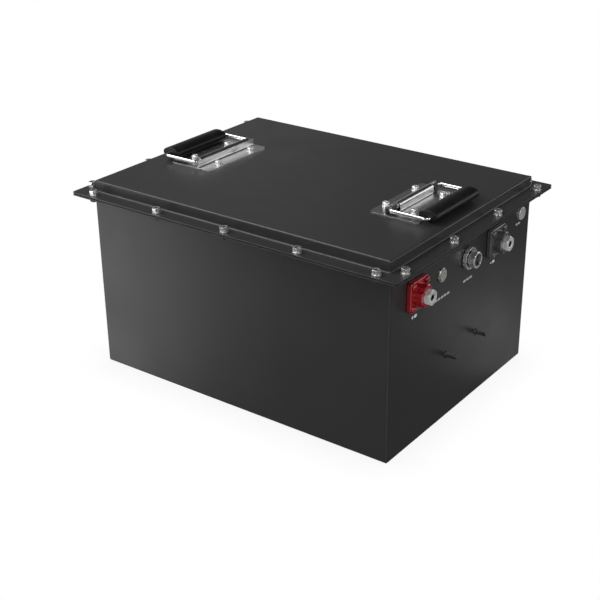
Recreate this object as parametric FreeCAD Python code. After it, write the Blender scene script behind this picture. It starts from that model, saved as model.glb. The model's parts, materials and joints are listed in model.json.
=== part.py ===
import FreeCAD, Part
import math
import os

# Lithium battery pack in a bolted sheet-steel box with folding spring handles.
# Frame: millimetres, +Z up, origin at the centre of the underside of the case.
# +X points out of the connector wall, the long walls face -Y and +Y.

V = FreeCAD.Vector
X_AXIS = V(1, 0, 0)
Y_AXIS = V(0, 1, 0)
Z_AXIS = V(0, 0, 1)

# ---- case, lid and flange ----
CASE_L = 480.0
CASE_W = 360.0
SHEET = 1.5
CASE_BEND_R = 2.5
FLANGE_Z = 257.5            # underside of the case flange
FLANGE_OVERHANG = 21.5
FLANGE_CORNER_R = 4.0
GASKET_T = 1.6
LID_TOP_Z = 277.0
LID_INSET = 0.5             # the raised lid is this much smaller than the case, per side
LID_BEND_R = 2.2
LID_CORNER_R = 2.6
WALL_X = CASE_L / 2.0       # outer face of the connector wall
FLANGE_HALF_X = CASE_L / 2.0 + FLANGE_OVERHANG
FLANGE_HALF_Y = CASE_W / 2.0 + FLANGE_OVERHANG
CASE_RIM_Z = FLANGE_Z + SHEET
LID_FLANGE_Z = CASE_RIM_Z + GASKET_T
LID_SEAT_Z = LID_FLANGE_Z + SHEET

# ---- lid bolts (M6) ----
BOLT_R = 3.0
BOLT_HOLE_R = 3.3
BOLT_LEN = 12.0
BOLT_AF = 10.0
BOLT_HEAD_H = 4.0
FLAT_WASHER_R = 6.0
WASHER_T = 1.6
SPRING_WASHER_R = 5.0
WELD_NUT_H = 4.0
LONG_ROW_PITCH = 114.0
LONG_ROW_Y = 193.0
SHORT_ROW_PITCH = 340.0 / 3.0
SHORT_ROW_X = 253.5
BOLT_RECESS_R = 2.6
BOLT_RECESS_DEPTH = 2.0
RECESS_WIDTH = 1.2
THREAD_GAP = 0.05           # radial gap between a modelled shank and its nut
GASKET_INSET = 1.0          # gap between the gasket's rim and the flange's rim
GASKET_OPENING_GAP = 2.0    # gap between the gasket's opening and the case walls

# ---- folding handles ----
HANDLE_PIVOT_X = 160.0      # distance of each pivot from the middle of the lid
HANDLE_PIVOT_Z = LID_TOP_Z + 7.8
BAIL_ROD_R = 2.5
BAIL_REACH = 56.5
BAIL_HALF_W = 61.0
BAIL_BEND_R = 6.0
BAIL_STUB_END = 34.0        # inner end of each pivot stub, from the handle's middle
PLATE_T = 1.5
PLATE_INBOARD_X = 132.0
PLATE_OUTBOARD_X = 204.0
PLATE_HALF_W = 64.0
PLATE_CORNER_R = 6.0
TUNNEL_R = 3.7
TUNNEL_HALF_L = 54.0
TUNNEL_WINDOW_FROM = 41.0   # the tunnel's outboard side is cut away from here to its ends
STOP_LIP_HALF_L = 62.0      # upright lip inboard of the pivots; the open bail stands against it
STOP_LIP_TOP_Z = LID_TOP_Z + 10.8
BUSH_L = 7.0
RUNNING_GAP = 0.05
GRIP_L = 108.0
GRIP_W = 28.0
GRIP_T = 15.0
GRIP_INBOARD = 3.5          # the grip's middle is this far inboard of the bar through it, and above it
GRIP_ABOVE = 1.7
GRIP_END_R = 1.5
SPRING_WIRE_R = 0.4
SPRING_MEAN_R = 3.15
SPRING_PITCH = 1.4
SPRING_COIL_START = 38.0    # inner end of the coil, from the handle's middle
SPRING_COIL_L = 7.0
SPRING_LEG_L = 2.6          # from the coil to the leg that crosses the stub
STUB_SLOT_DEPTH = 2.5
STUB_SLOT_W = 1.2
HANDLE_SCREW_X = (140.0, 183.0)
HANDLE_SCREW_Y = 36.0
SCREW_R = 2.5
SCREW_LEN = 18.0
SCREW_HEAD_R = 4.75
SCREW_HEAD_H = 3.8
SCREW_RECESS_R = 2.3
SCREW_RECESS_DEPTH = 1.8
SCREW_FLAT_T = 1.0
SCREW_LOCK_T = 1.2

# ---- main terminals (M8 female) ----
TERMINAL_Y = {"positive": -124.0, "negative": 76.0}
TERMINAL_Z = {"positive": 216.0, "negative": 217.0}
TERMINAL_FLANGE = 40.0
TERMINAL_FLANGE_T = 6.0
TERMINAL_SEAL_T = 1.0
TERMINAL_BODY_R = 15.0
TERMINAL_BODY_END = 18.0    # all *_END values are distances out from the wall
TERMINAL_HEX_AF = 19.0
TERMINAL_HEX_END = 25.0
TERMINAL_SHANK_R = 6.0
TERMINAL_BORE_R = 4.0
TERMINAL_BORE_DEPTH = 16.0
TERMINAL_SCREW_OFF = 14.6
TERMINAL_SCREW_R = 2.0
TERMINAL_SCREW_HEAD_R = 3.6
TERMINAL_SCREW_HEAD_H = 2.4
TERMINAL_POCKET_R = 4.5     # pocket in the flange over each screw, closed by a cap
TERMINAL_POCKET_DEPTH = 3.0
TERMINAL_CAP_R = 4.4
TERMINAL_CAP_H = 4.0
TERMINAL_CAP_DOME_R = 3.2
TERMINAL_CAP_SINK = 0.5
TERMINAL_NUT_H = 3.2
TERMINAL_SEAL_HALF = 19.0
TERMINAL_FLANGE_EDGE_R = 1.8
TERMINAL_GROOVES = 4        # cut into the round body, one toward each corner of the flange
TERMINAL_GROOVE_R = 5.0
TERMINAL_GROOVE_DEPTH = 2.5
TERMINAL_BOSS_R = 12.0
TERMINAL_BOSS_BACK = 8.0    # *_BACK values are distances in from the wall's outer face
LUG_T = 3.0
INNER_THREAD_R = 5.0
INNER_THREAD_BACK = 26.0

# ---- charging socket, push button, vent and bracket studs ----
SOCKET_Y = 4.5
SOCKET_Z = 217.0
SOCKET_HEX_AF = 29.0
SOCKET_HEX_TURN = -19.0     # degrees the collar's top corner is turned from straight up
SOCKET_NOTCH_R = 3.0        # scallop in place of each of the collar's corners
SOCKET_BARREL_R = 11.0
SOCKET_END = 16.0
SOCKET_THREAD_R = 10.0
SOCKET_BORE_R = 8.8
SOCKET_SEAL_T = 1.2
SOCKET_SEAL_R = 13.8
SOCKET_HEX_END = 6.0
SOCKET_BACK = 14.0
SOCKET_LIP_BACK = 8.0       # rear face of the insert, held by the shell's inner lip
SOCKET_LIP = 1.5
SOCKET_FACE = 14.6
CONTACT_OFFSET = 4.3
CONTACT_R = 2.4
CONTACT_HOLE_R = 2.9
CONTACT_PIN_R = 1.6
CONTACT_TAIL_R = 1.0
CONTACT_L = 15.0
CONTACT_BACK = 4.0
BUTTON_Y = -61.0
BUTTON_Z = 216.5
BUTTON_BEZEL_R = 9.5
BUTTON_CAP_R = 7.2
BUTTON_THREAD_R = 8.0
BUTTON_BEZEL_END = 2.5
BUTTON_CAP_END = 3.6
BUTTON_STEP_BACK = 5.0      # where the front bore opens into the wider chamber
BUTTON_FLOOR_BACK = 14.0
BUTTON_BACK = 17.0
BUTTON_CHAMBER_R = 7.6
BUTTON_SHOULDER_T = 3.0
BUTTON_POCKET_R = 5.6
BUTTON_POCKET_DEPTH = 7.0
BUTTON_TAB_Y = 3.0
BUTTON_SPRING_R = 4.6
BUTTON_SPRING_PITCH = 2.4
VENT_Y = 150.0
VENT_Z = 232.0
VENT_HEAD_R = 9.25
VENT_HEAD_END = 4.2
VENT_THREAD_R = 6.0
VENT_BACK = 14.0
VENT_CAVITY_R = 4.0
VENT_CAVITY_END = 3.0
VENT_SEAT_R = 5.0
VENT_SEAT_BACK = 1.7        # the membrane rests against the step at this depth
VENT_SLOTS = 6
VENT_SLOT_W = 5.0
VENT_SLOT_FROM = 0.8
VENT_SLOT_TO = 3.0
STUD_Y = 40.0
STUD_Z = 95.0
STUD_R = 3.0
STUD_END = 16.0
STUD_COLLAR_R = 4.6
STUD_COLLAR_T = 1.4

# ---- nuts: across flats and height, and for flanged ones the flange's radius and thickness ----
SOCKET_NUT = (26.0, 4.5)
BUTTON_NUT = (20.0, 4.0)
VENT_NUT = (17.0, 3.5)
LUG_NUT = (17.0, 8.0)
HANDLE_NUT = (8.0, 5.0, 5.8, 1.2)
LINK_NUT = (10.0, 6.0, 7.0, 1.2)

# ---- cell stack ----
CELL_X = 53.8
CELL_Y = 173.9
CELL_Z = 207.2
CELLS_PER_ROW = 8
SPACER_T = 0.8
ROW_GAP = 2.0
STACK_END_X = 205.0         # +X end of the cells
BASE_PAD_T = 3.0
END_PLATE_T = 5.0
TRAY_Z = 230.0
TRAY_T = 2.0
BAND_T = 0.8
BAND_H = 16.0
POST_OFFSET_Y = 61.5
POST_R = 9.0
POST_H = 3.0
POST_THREAD_L = 11.0
CELL_CORNER_R = 3.0
BAND_Z = (50.0, 160.0)
SIDE_PAD_Z = (8.0, 205.0)
SIDE_PAD_INSET = 6.0
TRAY_SCREW_Y = 150.0
TRAY_HALF_Y = 170.0
TRAY_NOTCH_X = 105.0        # the tray is open from here to the +X end, over the main taps
TRAY_NOTCH_HALF_Y = 95.0
TRAY_SCREW_R = 1.5
TRAY_SCREW_L = 8.0
LINK_CORNER_R = 4.0
LINK_T = 2.5
LINK_HALF_W = 10.0
CELL_PITCH = CELL_X + SPACER_T
CELL_BASE_Z = SHEET + BASE_PAD_T
CELL_TOP_Z = CELL_BASE_Z + CELL_Z
POST_TOP_Z = CELL_TOP_Z + POST_H
ROW_CENTRE_Y = ROW_GAP / 2.0 + CELL_Y / 2.0
STACK_START_X = STACK_END_X - CELLS_PER_ROW * CELL_X - (CELLS_PER_ROW - 1) * SPACER_T
STACK_HALF_Y = ROW_GAP / 2.0 + CELL_Y
OUTER_POST_Y = ROW_CENTRE_Y + POST_OFFSET_Y
INNER_POST_Y = ROW_CENTRE_Y - POST_OFFSET_Y

# ---- electronics and wiring above the cells ----
CABLE_R = 5.5
CABLE_BEND_R = 12.0
CABLE_LEVEL_Z = 256.0
LUG_BARREL_R = 6.5
LUG_SEAT_Z = CABLE_LEVEL_Z - LUG_BARREL_R
TAP_BARREL_Z = POST_TOP_Z + LUG_BARREL_R
FUSE_X = 120.0
FUSE_Y = (-74.0, -124.0)
FUSE_STUD_R = 4.0
BMS_X = (-190.0, 5.0)
BMS_HALF_Y = 62.0
BMS_BOARD_Z = TRAY_Z + TRAY_T + 6.0
BMS_BOARD_T = 1.6
BMS_POST_X = -6.0
BMS_POST_Y = (INNER_POST_Y, 50.0)
BMS_POST_R = 6.0
BMS_STUD_R = 2.5
BMS_SCREW_INSET = 6.0
BMS_CONNECTOR_H = 7.0
SENSE_SOCKET_Y = 40.0
SENSE_SOCKET_HALF = 12.0
SENSE_SOCKET_H = 8.0
TRANSISTORS_PER_ROW = 8
TRANSISTOR_X = -162.0
TRANSISTOR_PITCH = 16.0
TRANSISTOR_Y = 26.0
TRANSISTOR_H = 4.4
HEATSINK_X = (-172.0, -40.0)
HEATSINK_HALF_Y = 45.0
HEATSINK_BASE_T = 4.0
HEATSINK_H = 16.0
HEATSINK_FINS = 10
FIN_T = 1.6
LEAD_R = 2.0
LEAD_LEVEL_Z = 243.0
BUTTON_LEAD_Y = -40.0
TRUNK_R = 2.5
TRUNK_Y = 88.0
TRUNK_RISE_X = -212.0
TRUNK_BEND_R = 8.0
BRANCH_R = 0.9
LUG_TAB_R = 9.0
LUG_BARREL_FROM = 11.5      # from the lug's hole to the near end of its barrel
LUG_BARREL_L = 14.0
CABLE_FROM = 14.0           # a cable starts this far from its lug's hole


# ---------------------------------------------------------------- helpers

def box(x0, x1, y0, y1, z0, z1):
    return Part.makeBox(x1 - x0, y1 - y0, z1 - z0, V(x0, y0, z0))


def slab(half_x, half_y, corner_r, z0, z1):
    """Flat plate centred on the origin with rounded corners."""
    plate = box(-half_x, half_x, -half_y, half_y, z0, z1)
    return plate.makeFillet(corner_r, edges_along(plate, Z_AXIS))


def cylinder(centre, axis, radius, length):
    return Part.makeCylinder(radius, length, centre, axis)


def ring(centre, axis, outer_r, inner_r, length):
    return cylinder(centre, axis, outer_r, length).cut(cylinder(centre, axis, inner_r, length))


def hexagon(centre, axis, across_flats, length, clip=0.0):
    """Hexagonal prism with a vertex along +Z (or +X when it stands up), its corners clipped by cones."""
    corner_r = across_flats / math.sqrt(3.0)
    flat_r = across_flats / 2.0
    points = []
    for i in range(7):
        angle = math.radians(60.0 * i)
        points.append(V(corner_r * math.cos(angle), corner_r * math.sin(angle), 0))
    prism = Part.Face(Part.makePolygon(points)).extrude(V(0, 0, length))
    if clip > 0.0:
        envelope = cylinder(V(0, 0, 0), Z_AXIS, corner_r, length)
        rims = [e for e in envelope.Edges if abs(e.Length - 2.0 * math.pi * corner_r) < 1e-3]
        prism = prism.common(envelope.makeChamfer(min(clip, corner_r - flat_r + 0.2), rims))
    return place(prism, centre, axis)


def place(shape, centre, axis):
    """Turn a shape made along +Z so that it runs along axis from centre."""
    placed = shape.copy()
    if axis.x > 0.5:
        placed.rotate(V(0, 0, 0), Y_AXIS, 90)
    elif axis.x < -0.5:
        placed.rotate(V(0, 0, 0), Y_AXIS, -90)
    elif axis.y > 0.5:
        placed.rotate(V(0, 0, 0), X_AXIS, -90)
    elif axis.y < -0.5:
        placed.rotate(V(0, 0, 0), X_AXIS, 90)
    elif axis.z < -0.5:
        placed.rotate(V(0, 0, 0), X_AXIS, 180)
    placed.translate(centre)
    return placed


def edges_along(shape, direction):
    """Straight edges that are parallel to direction."""
    found = []
    for edge in shape.Edges:
        if isinstance(edge.Curve, Part.Line):
            tangent = edge.tangentAt(edge.FirstParameter)
            if abs(abs(tangent.dot(direction)) - 1.0) < 1e-6:
                found.append(edge)
    return found


def edges_at_z(shape, z, half_x, half_y):
    """Edges that lie in the plane z and inside the given half sizes."""
    found = []
    for edge in shape.Edges:
        b = edge.BoundBox
        level = abs(b.ZMin - z) < 1e-4 and abs(b.ZMax - z) < 1e-4
        inside = max(-b.XMin, b.XMax) <= half_x + 1e-4 and max(-b.YMin, b.YMax) <= half_y + 1e-4
        if level and inside:
            found.append(edge)
    return found


def rim_at_x(shape, x):
    """Edges that lie in the upright plane at x."""
    return [e for e in shape.Edges if abs(e.BoundBox.XMin - x) < 1e-4 and e.BoundBox.XLength < 1e-4]


def rounded_box(half_x, half_y, z0, z1, corner_r, bend_r, bend_z):
    """Box with rounded upright corners and the edge loop at bend_z rounded."""
    body = slab(half_x, half_y, corner_r, z0, z1)
    return body.makeFillet(bend_r, edges_at_z(body, bend_z, half_x, half_y))


def rod_path(points, radius, bend_r):
    """Round rod along straight runs joined by arcs of radius bend_r."""
    edges = []
    start = points[0]
    for i in range(1, len(points) - 1):
        corner = points[i]
        way_in = (corner - points[i - 1]).normalize()
        way_out = (points[i + 1] - corner).normalize()
        bend_in = corner - way_in * bend_r
        bend_out = corner + way_out * bend_r
        middle = corner + (way_out - way_in) * (bend_r * (1.0 - math.sqrt(0.5)))
        if (bend_in - start).Length > 1e-6:
            edges.append(Part.makeLine(start, bend_in))
        edges.append(Part.Arc(bend_in, middle, bend_out).toShape())
        start = bend_out
    edges.append(Part.makeLine(start, points[-1]))
    first_way = (points[1] - points[0]).normalize()
    section = Part.Wire(Part.makeCircle(radius, points[0], first_way))
    return Part.Wire(edges).makePipeShell([section], True, False)


def coil(wire_r, mean_r, length, pitch):
    """Helical spring body along +Z from the origin."""
    helix = Part.makeLongHelix(pitch, length, mean_r)
    section = Part.Wire(Part.makeCircle(wire_r, V(mean_r, 0, 0), Y_AXIS))
    return Part.Wire(helix.Edges).makePipeShell([section], True, True)


def drill(shape, holes):
    return shape.cut(Part.makeCompound(holes))


def moved(shape, x, y, z):
    copy = shape.copy()
    copy.translate(V(x, y, z))
    return copy


def turned_half_circle(shape):
    """The same shape turned 180 degrees about the pack's upright axis."""
    copy = shape.copy()
    copy.rotate(V(0, 0, 0), Z_AXIS, 180)
    return copy


def export(name, shapes):
    solids = []
    for shape in shapes:
        solids.extend(shape.Solids)
    if len(solids) == 1:
        result = solids[0]
    else:
        result = Part.makeCompound(solids)
    result.exportStep("parts/" + name + ".step")


def on_wall(y, z, out):
    """Point at a distance out from the connector wall's outer face."""
    return V(WALL_X + out, y, z)


# ---------------------------------------------------------------- case and lid

def lid_bolt_points():
    points = []
    for side in (-1, 1):
        for step in range(-2, 3):
            points.append((step * LONG_ROW_PITCH, side * LONG_ROW_Y))
        for step in range(4):
            points.append((side * SHORT_ROW_X, (step - 1.5) * SHORT_ROW_PITCH))
    return points


def bolt_holes(z0, z1):
    return [cylinder(V(x, y, z0), Z_AXIS, BOLT_HOLE_R, z1 - z0) for x, y in lid_bolt_points()]


def wall_hole(y, z, radius):
    return cylinder(on_wall(y, z, -2.0 * SHEET), X_AXIS, radius, 4.0 * SHEET)


def terminal_screw_points(pole):
    points = []
    for dy in (-TERMINAL_SCREW_OFF, TERMINAL_SCREW_OFF):
        for dz in (-TERMINAL_SCREW_OFF, TERMINAL_SCREW_OFF):
            points.append((TERMINAL_Y[pole] + dy, TERMINAL_Z[pole] + dz))
    return points


def connector_holes():
    holes = [wall_hole(SOCKET_Y, SOCKET_Z, SOCKET_THREAD_R + 0.2)]
    holes.append(wall_hole(BUTTON_Y, BUTTON_Z, 8.2))
    holes.append(wall_hole(VENT_Y, VENT_Z, VENT_THREAD_R + 0.1))
    for pole in TERMINAL_Y:
        holes.append(wall_hole(TERMINAL_Y[pole], TERMINAL_Z[pole], TERMINAL_BOSS_R + 0.2))
        for y, z in terminal_screw_points(pole):
            holes.append(wall_hole(y, z, 2.2))
    return holes


def case_body():
    half_x = CASE_L / 2.0
    half_y = CASE_W / 2.0
    outer = rounded_box(half_x, half_y, 0.0, CASE_RIM_Z, CASE_BEND_R, CASE_BEND_R, 0.0)
    inner = rounded_box(half_x - SHEET, half_y - SHEET, SHEET, CASE_RIM_Z + 10.0,
                        CASE_BEND_R - SHEET, CASE_BEND_R - SHEET, SHEET)
    flange = slab(FLANGE_HALF_X, FLANGE_HALF_Y, FLANGE_CORNER_R, FLANGE_Z, CASE_RIM_Z)
    tub = outer.fuse(flange).cut(inner).removeSplitter()
    tub = tub.makeFillet(SHEET, edges_at_z(tub, CASE_RIM_Z, half_x, half_y))
    tub = tub.makeFillet(SHEET, edges_at_z(tub, FLANGE_Z, half_x, half_y))
    return drill(tub, bolt_holes(FLANGE_Z - 1.0, CASE_RIM_Z + 1.0) + connector_holes())


def handle_screw_points():
    points = []
    for side in (-1, 1):
        for x in HANDLE_SCREW_X:
            points.append((side * x, -HANDLE_SCREW_Y))
            points.append((side * x, HANDLE_SCREW_Y))
    return points


def handle_holes(z0, z1):
    return [cylinder(V(x, y, z0), Z_AXIS, SCREW_R + 0.25, z1 - z0) for x, y in handle_screw_points()]


def lid_cover():
    half_x = CASE_L / 2.0 - LID_INSET
    half_y = CASE_W / 2.0 - LID_INSET
    outer = rounded_box(half_x, half_y, LID_FLANGE_Z, LID_TOP_Z, LID_CORNER_R, LID_BEND_R, LID_TOP_Z)
    inner = rounded_box(half_x - SHEET, half_y - SHEET, LID_FLANGE_Z - 10.0, LID_TOP_Z - SHEET,
                        LID_CORNER_R - SHEET, LID_BEND_R - SHEET, LID_TOP_Z - SHEET)
    flange = slab(FLANGE_HALF_X, FLANGE_HALF_Y, FLANGE_CORNER_R, LID_FLANGE_Z, LID_SEAT_Z)
    pan = outer.fuse(flange).cut(inner).removeSplitter()
    pan = pan.makeFillet(2.0, edges_at_z(pan, LID_SEAT_Z, half_x, half_y))
    pan = drill(pan, bolt_holes(LID_FLANGE_Z - 1.0, LID_SEAT_Z + 1.0))
    return drill(pan, handle_holes(LID_TOP_Z - 2.0 * SHEET, LID_TOP_Z + 1.0))


def lid_gasket():
    frame = slab(FLANGE_HALF_X - GASKET_INSET, FLANGE_HALF_Y - GASKET_INSET,
                 FLANGE_CORNER_R - GASKET_INSET, CASE_RIM_Z, LID_FLANGE_Z)
    opening = slab(CASE_L / 2.0 + GASKET_OPENING_GAP, CASE_W / 2.0 + GASKET_OPENING_GAP,
                   CASE_BEND_R, CASE_RIM_Z - 1.0, LID_FLANGE_Z + 1.0)
    return drill(frame.cut(opening), bolt_holes(CASE_RIM_Z - 1.0, LID_FLANGE_Z + 1.0))


def cross_recess(top_z, radius, depth):
    """Two crossed slots for a screwdriver."""
    half = RECESS_WIDTH / 2.0
    slot = box(-radius, radius, -half, half, top_z - depth, top_z + 1.0)
    other = slot.copy()
    other.rotate(V(0, 0, 0), Z_AXIS, 90)
    return slot.fuse(other)


def lid_bolt():
    """Hex head bolt with a cross recess, its head's underside at z = 0."""
    head = hexagon(V(0, 0, 0), Z_AXIS, BOLT_AF, BOLT_HEAD_H, 0.8)
    shank = cylinder(V(0, 0, -BOLT_LEN), Z_AXIS, BOLT_R, BOLT_LEN)
    tip = [e for e in shank.Edges if abs(e.BoundBox.ZMax + BOLT_LEN) < 1e-4]
    bolt = head.fuse(shank.makeChamfer(0.6, tip))
    return bolt.cut(cross_recess(BOLT_HEAD_H, BOLT_RECESS_R, BOLT_RECESS_DEPTH))


def spring_washer(radius, bore_r, height):
    split = box(bore_r - 1.0, radius + 1.0, -0.5, 0.5, -1.0, height + 1.0)
    split.rotate(V(0, 0, height / 2.0), X_AXIS, 25)
    return ring(V(0, 0, 0), Z_AXIS, radius, bore_r, height).cut(split)


def weld_nut():
    nut = hexagon(V(0, 0, 0), Z_AXIS, BOLT_AF, WELD_NUT_H, 0.5)
    return nut.cut(cylinder(V(0, 0, -1), Z_AXIS, BOLT_R + THREAD_GAP, WELD_NUT_H + 2.0))


def build_lid_hardware():
    bolt = lid_bolt()
    lock = spring_washer(SPRING_WASHER_R, BOLT_R + 0.1, WASHER_T)
    flat = ring(V(0, 0, 0), Z_AXIS, FLAT_WASHER_R, BOLT_R + 0.2, WASHER_T)
    nut = weld_nut()
    places = lid_bolt_points()
    export("lid_flat_washers", [moved(flat, x, y, LID_SEAT_Z) for x, y in places])
    export("lid_spring_washers", [moved(lock, x, y, LID_SEAT_Z + WASHER_T) for x, y in places])
    export("lid_bolts", [moved(bolt, x, y, LID_SEAT_Z + 2.0 * WASHER_T) for x, y in places])
    export("flange_weld_nuts", [moved(nut, x, y, FLANGE_Z - WELD_NUT_H) for x, y in places])


# ---------------------------------------------------------------- handles
# Each handle is drawn on the +X side; the -X one is the same part turned half a circle.

def handle_plate():
    """Stamped plate with a tunnel pressed up over the pivot stubs and a stop lip inboard of them."""
    mid_x = (PLATE_INBOARD_X + PLATE_OUTBOARD_X) / 2.0
    half_x = (PLATE_OUTBOARD_X - PLATE_INBOARD_X) / 2.0
    plate_top = LID_TOP_Z + PLATE_T
    foot_x = TUNNEL_R + PLATE_T
    plate = moved(slab(half_x, PLATE_HALF_W, PLATE_CORNER_R, LID_TOP_Z, plate_top), mid_x, 0, 0)
    outer = tunnel_bar(foot_x, TUNNEL_HALF_L)
    lip = box(HANDLE_PIVOT_X - foot_x, HANDLE_PIVOT_X - TUNNEL_R, -STOP_LIP_HALF_L, STOP_LIP_HALF_L,
              LID_TOP_Z, STOP_LIP_TOP_Z)
    body = plate.fuse([outer, lip]).removeSplitter()
    feet = []
    for edge in edges_along(body, Y_AXIS):
        b = edge.BoundBox
        at_foot = abs(abs(b.XMin - HANDLE_PIVOT_X) - foot_x) < 1e-4
        if at_foot and abs(b.ZMin - plate_top) < 1e-4:
            feet.append(edge)
    body = body.makeFillet(2.0, feet)
    body = body.cut(tunnel_bar(TUNNEL_R, TUNNEL_HALF_L + 1.0))
    window_end = TUNNEL_HALF_L + 1.0
    for y0, y1 in ((-window_end, -TUNNEL_WINDOW_FROM), (TUNNEL_WINDOW_FROM, window_end)):
        body = body.cut(box(HANDLE_PIVOT_X + 1.0, HANDLE_PIVOT_X + foot_x + 3.0, y0, y1,
                            plate_top, HANDLE_PIVOT_Z + foot_x + 1.0))
    return drill(body, handle_holes(LID_TOP_Z - 1.0, plate_top + 1.0))


def tunnel_bar(radius, half_length):
    """Arch section: a round top on the pivot axis with straight sides down to the lid."""
    top = cylinder(V(HANDLE_PIVOT_X, -half_length, HANDLE_PIVOT_Z), Y_AXIS, radius, 2.0 * half_length)
    legs = box(HANDLE_PIVOT_X - radius, HANDLE_PIVOT_X + radius, -half_length, half_length,
               LID_TOP_Z, HANDLE_PIVOT_Z)
    return top.fuse(legs).removeSplitter()


def handle_bail():
    """Round rod bent to a U, its ends turned in to make the two pivot stubs."""
    z = HANDLE_PIVOT_Z
    outer_x = HANDLE_PIVOT_X + BAIL_REACH
    points = [
        V(HANDLE_PIVOT_X, -BAIL_STUB_END, z),
        V(HANDLE_PIVOT_X, -BAIL_HALF_W, z),
        V(outer_x, -BAIL_HALF_W, z),
        V(outer_x, BAIL_HALF_W, z),
        V(HANDLE_PIVOT_X, BAIL_HALF_W, z),
        V(HANDLE_PIVOT_X, BAIL_STUB_END, z),
    ]
    rod = rod_path(points, BAIL_ROD_R, BAIL_BEND_R)
    half_w = STUB_SLOT_W / 2.0
    reach = BAIL_ROD_R + 1.0
    for side in (-1, 1):
        y0 = min(side * BAIL_STUB_END, side * (BAIL_STUB_END + STUB_SLOT_DEPTH))
        rod = rod.cut(box(HANDLE_PIVOT_X - reach, HANDLE_PIVOT_X + reach, y0, y0 + STUB_SLOT_DEPTH,
                          z - half_w, z + half_w))
    return rod


def handle_grip():
    """Moulded grip of flattened round section over the bail's outer bar."""
    bar = V(HANDLE_PIVOT_X + BAIL_REACH, 0, HANDLE_PIVOT_Z)
    section = Part.Ellipse(V(0, 0, 0), GRIP_W / 2.0, GRIP_T / 2.0).toShape()
    body = Part.Face(Part.Wire(section)).extrude(V(0, 0, GRIP_L))
    rims = [e for e in body.Edges if e.BoundBox.ZLength < 1e-3]
    body = body.makeFillet(GRIP_END_R, rims)
    body.rotate(V(0, 0, 0), X_AXIS, -90)
    body.translate(bar + V(-GRIP_INBOARD, -GRIP_L / 2.0, GRIP_ABOVE))
    return body.cut(cylinder(bar - V(0, GRIP_L, 0), Y_AXIS, BAIL_ROD_R + 0.02, 2.0 * GRIP_L))


def handle_bush(side):
    """Plastic bush that fills one end of the tunnel and carries a pivot stub."""
    y_out = side * TUNNEL_HALF_L
    y_in = side * (TUNNEL_HALF_L - BUSH_L)
    body = tunnel_bar(TUNNEL_R, TUNNEL_HALF_L)
    keep = box(HANDLE_PIVOT_X - 20, HANDLE_PIVOT_X + 20, min(y_in, y_out), max(y_in, y_out),
               LID_TOP_Z, HANDLE_PIVOT_Z + 20)
    bore = cylinder(V(HANDLE_PIVOT_X, -80, HANDLE_PIVOT_Z), Y_AXIS, BAIL_ROD_R + RUNNING_GAP, 160)
    tang_hole = cylinder(V(HANDLE_PIVOT_X + SPRING_MEAN_R, y_in - side * 1.0, HANDLE_PIVOT_Z),
                         Y_AXIS * side, SPRING_WIRE_R + RUNNING_GAP, 5.0)
    return body.common(keep).cut(bore).cut(tang_hole)


def handle_spring(side):
    """Torsion spring round a stub: one tang in the bush, the other through the stub's slot."""
    body = coil(SPRING_WIRE_R, SPRING_MEAN_R, SPRING_COIL_L, SPRING_PITCH)
    tang_in_bush = cylinder(V(SPRING_MEAN_R, 0, SPRING_COIL_L), Z_AXIS, SPRING_WIRE_R, 5.0)
    leg = cylinder(V(SPRING_MEAN_R, 0, -SPRING_LEG_L), Z_AXIS, SPRING_WIRE_R, SPRING_LEG_L)
    cross_leg = cylinder(V(-2.0, 0, -SPRING_LEG_L), X_AXIS, SPRING_WIRE_R, SPRING_MEAN_R + 2.0)
    elbow = Part.makeSphere(SPRING_WIRE_R, V(SPRING_MEAN_R, 0, -SPRING_LEG_L))
    spring = body.fuse([tang_in_bush, leg, cross_leg, elbow])
    return place(spring, V(HANDLE_PIVOT_X, side * SPRING_COIL_START, HANDLE_PIVOT_Z), Y_AXIS * side)


def handle_screw():
    """Pan head screw with a cross recess, its head's underside at z = 0."""
    head = cylinder(V(0, 0, 0), Z_AXIS, SCREW_HEAD_R, SCREW_HEAD_H)
    rim = [e for e in head.Edges if abs(e.BoundBox.ZMin - SCREW_HEAD_H) < 1e-4]
    head = head.makeFillet(1.8, rim)
    shank = cylinder(V(0, 0, -SCREW_LEN), Z_AXIS, SCREW_R, SCREW_LEN)
    return head.fuse(shank).cut(cross_recess(SCREW_HEAD_H, SCREW_RECESS_R, SCREW_RECESS_DEPTH))


def flange_nut(sizes, bore_r):
    across_flats, height, flange_r, flange_t = sizes
    nut = hexagon(V(0, 0, 0), Z_AXIS, across_flats, height, 0.5)
    nut = nut.fuse(cylinder(V(0, 0, 0), Z_AXIS, flange_r, flange_t))
    return nut.cut(cylinder(V(0, 0, -1), Z_AXIS, bore_r, height + 2.0))


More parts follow.
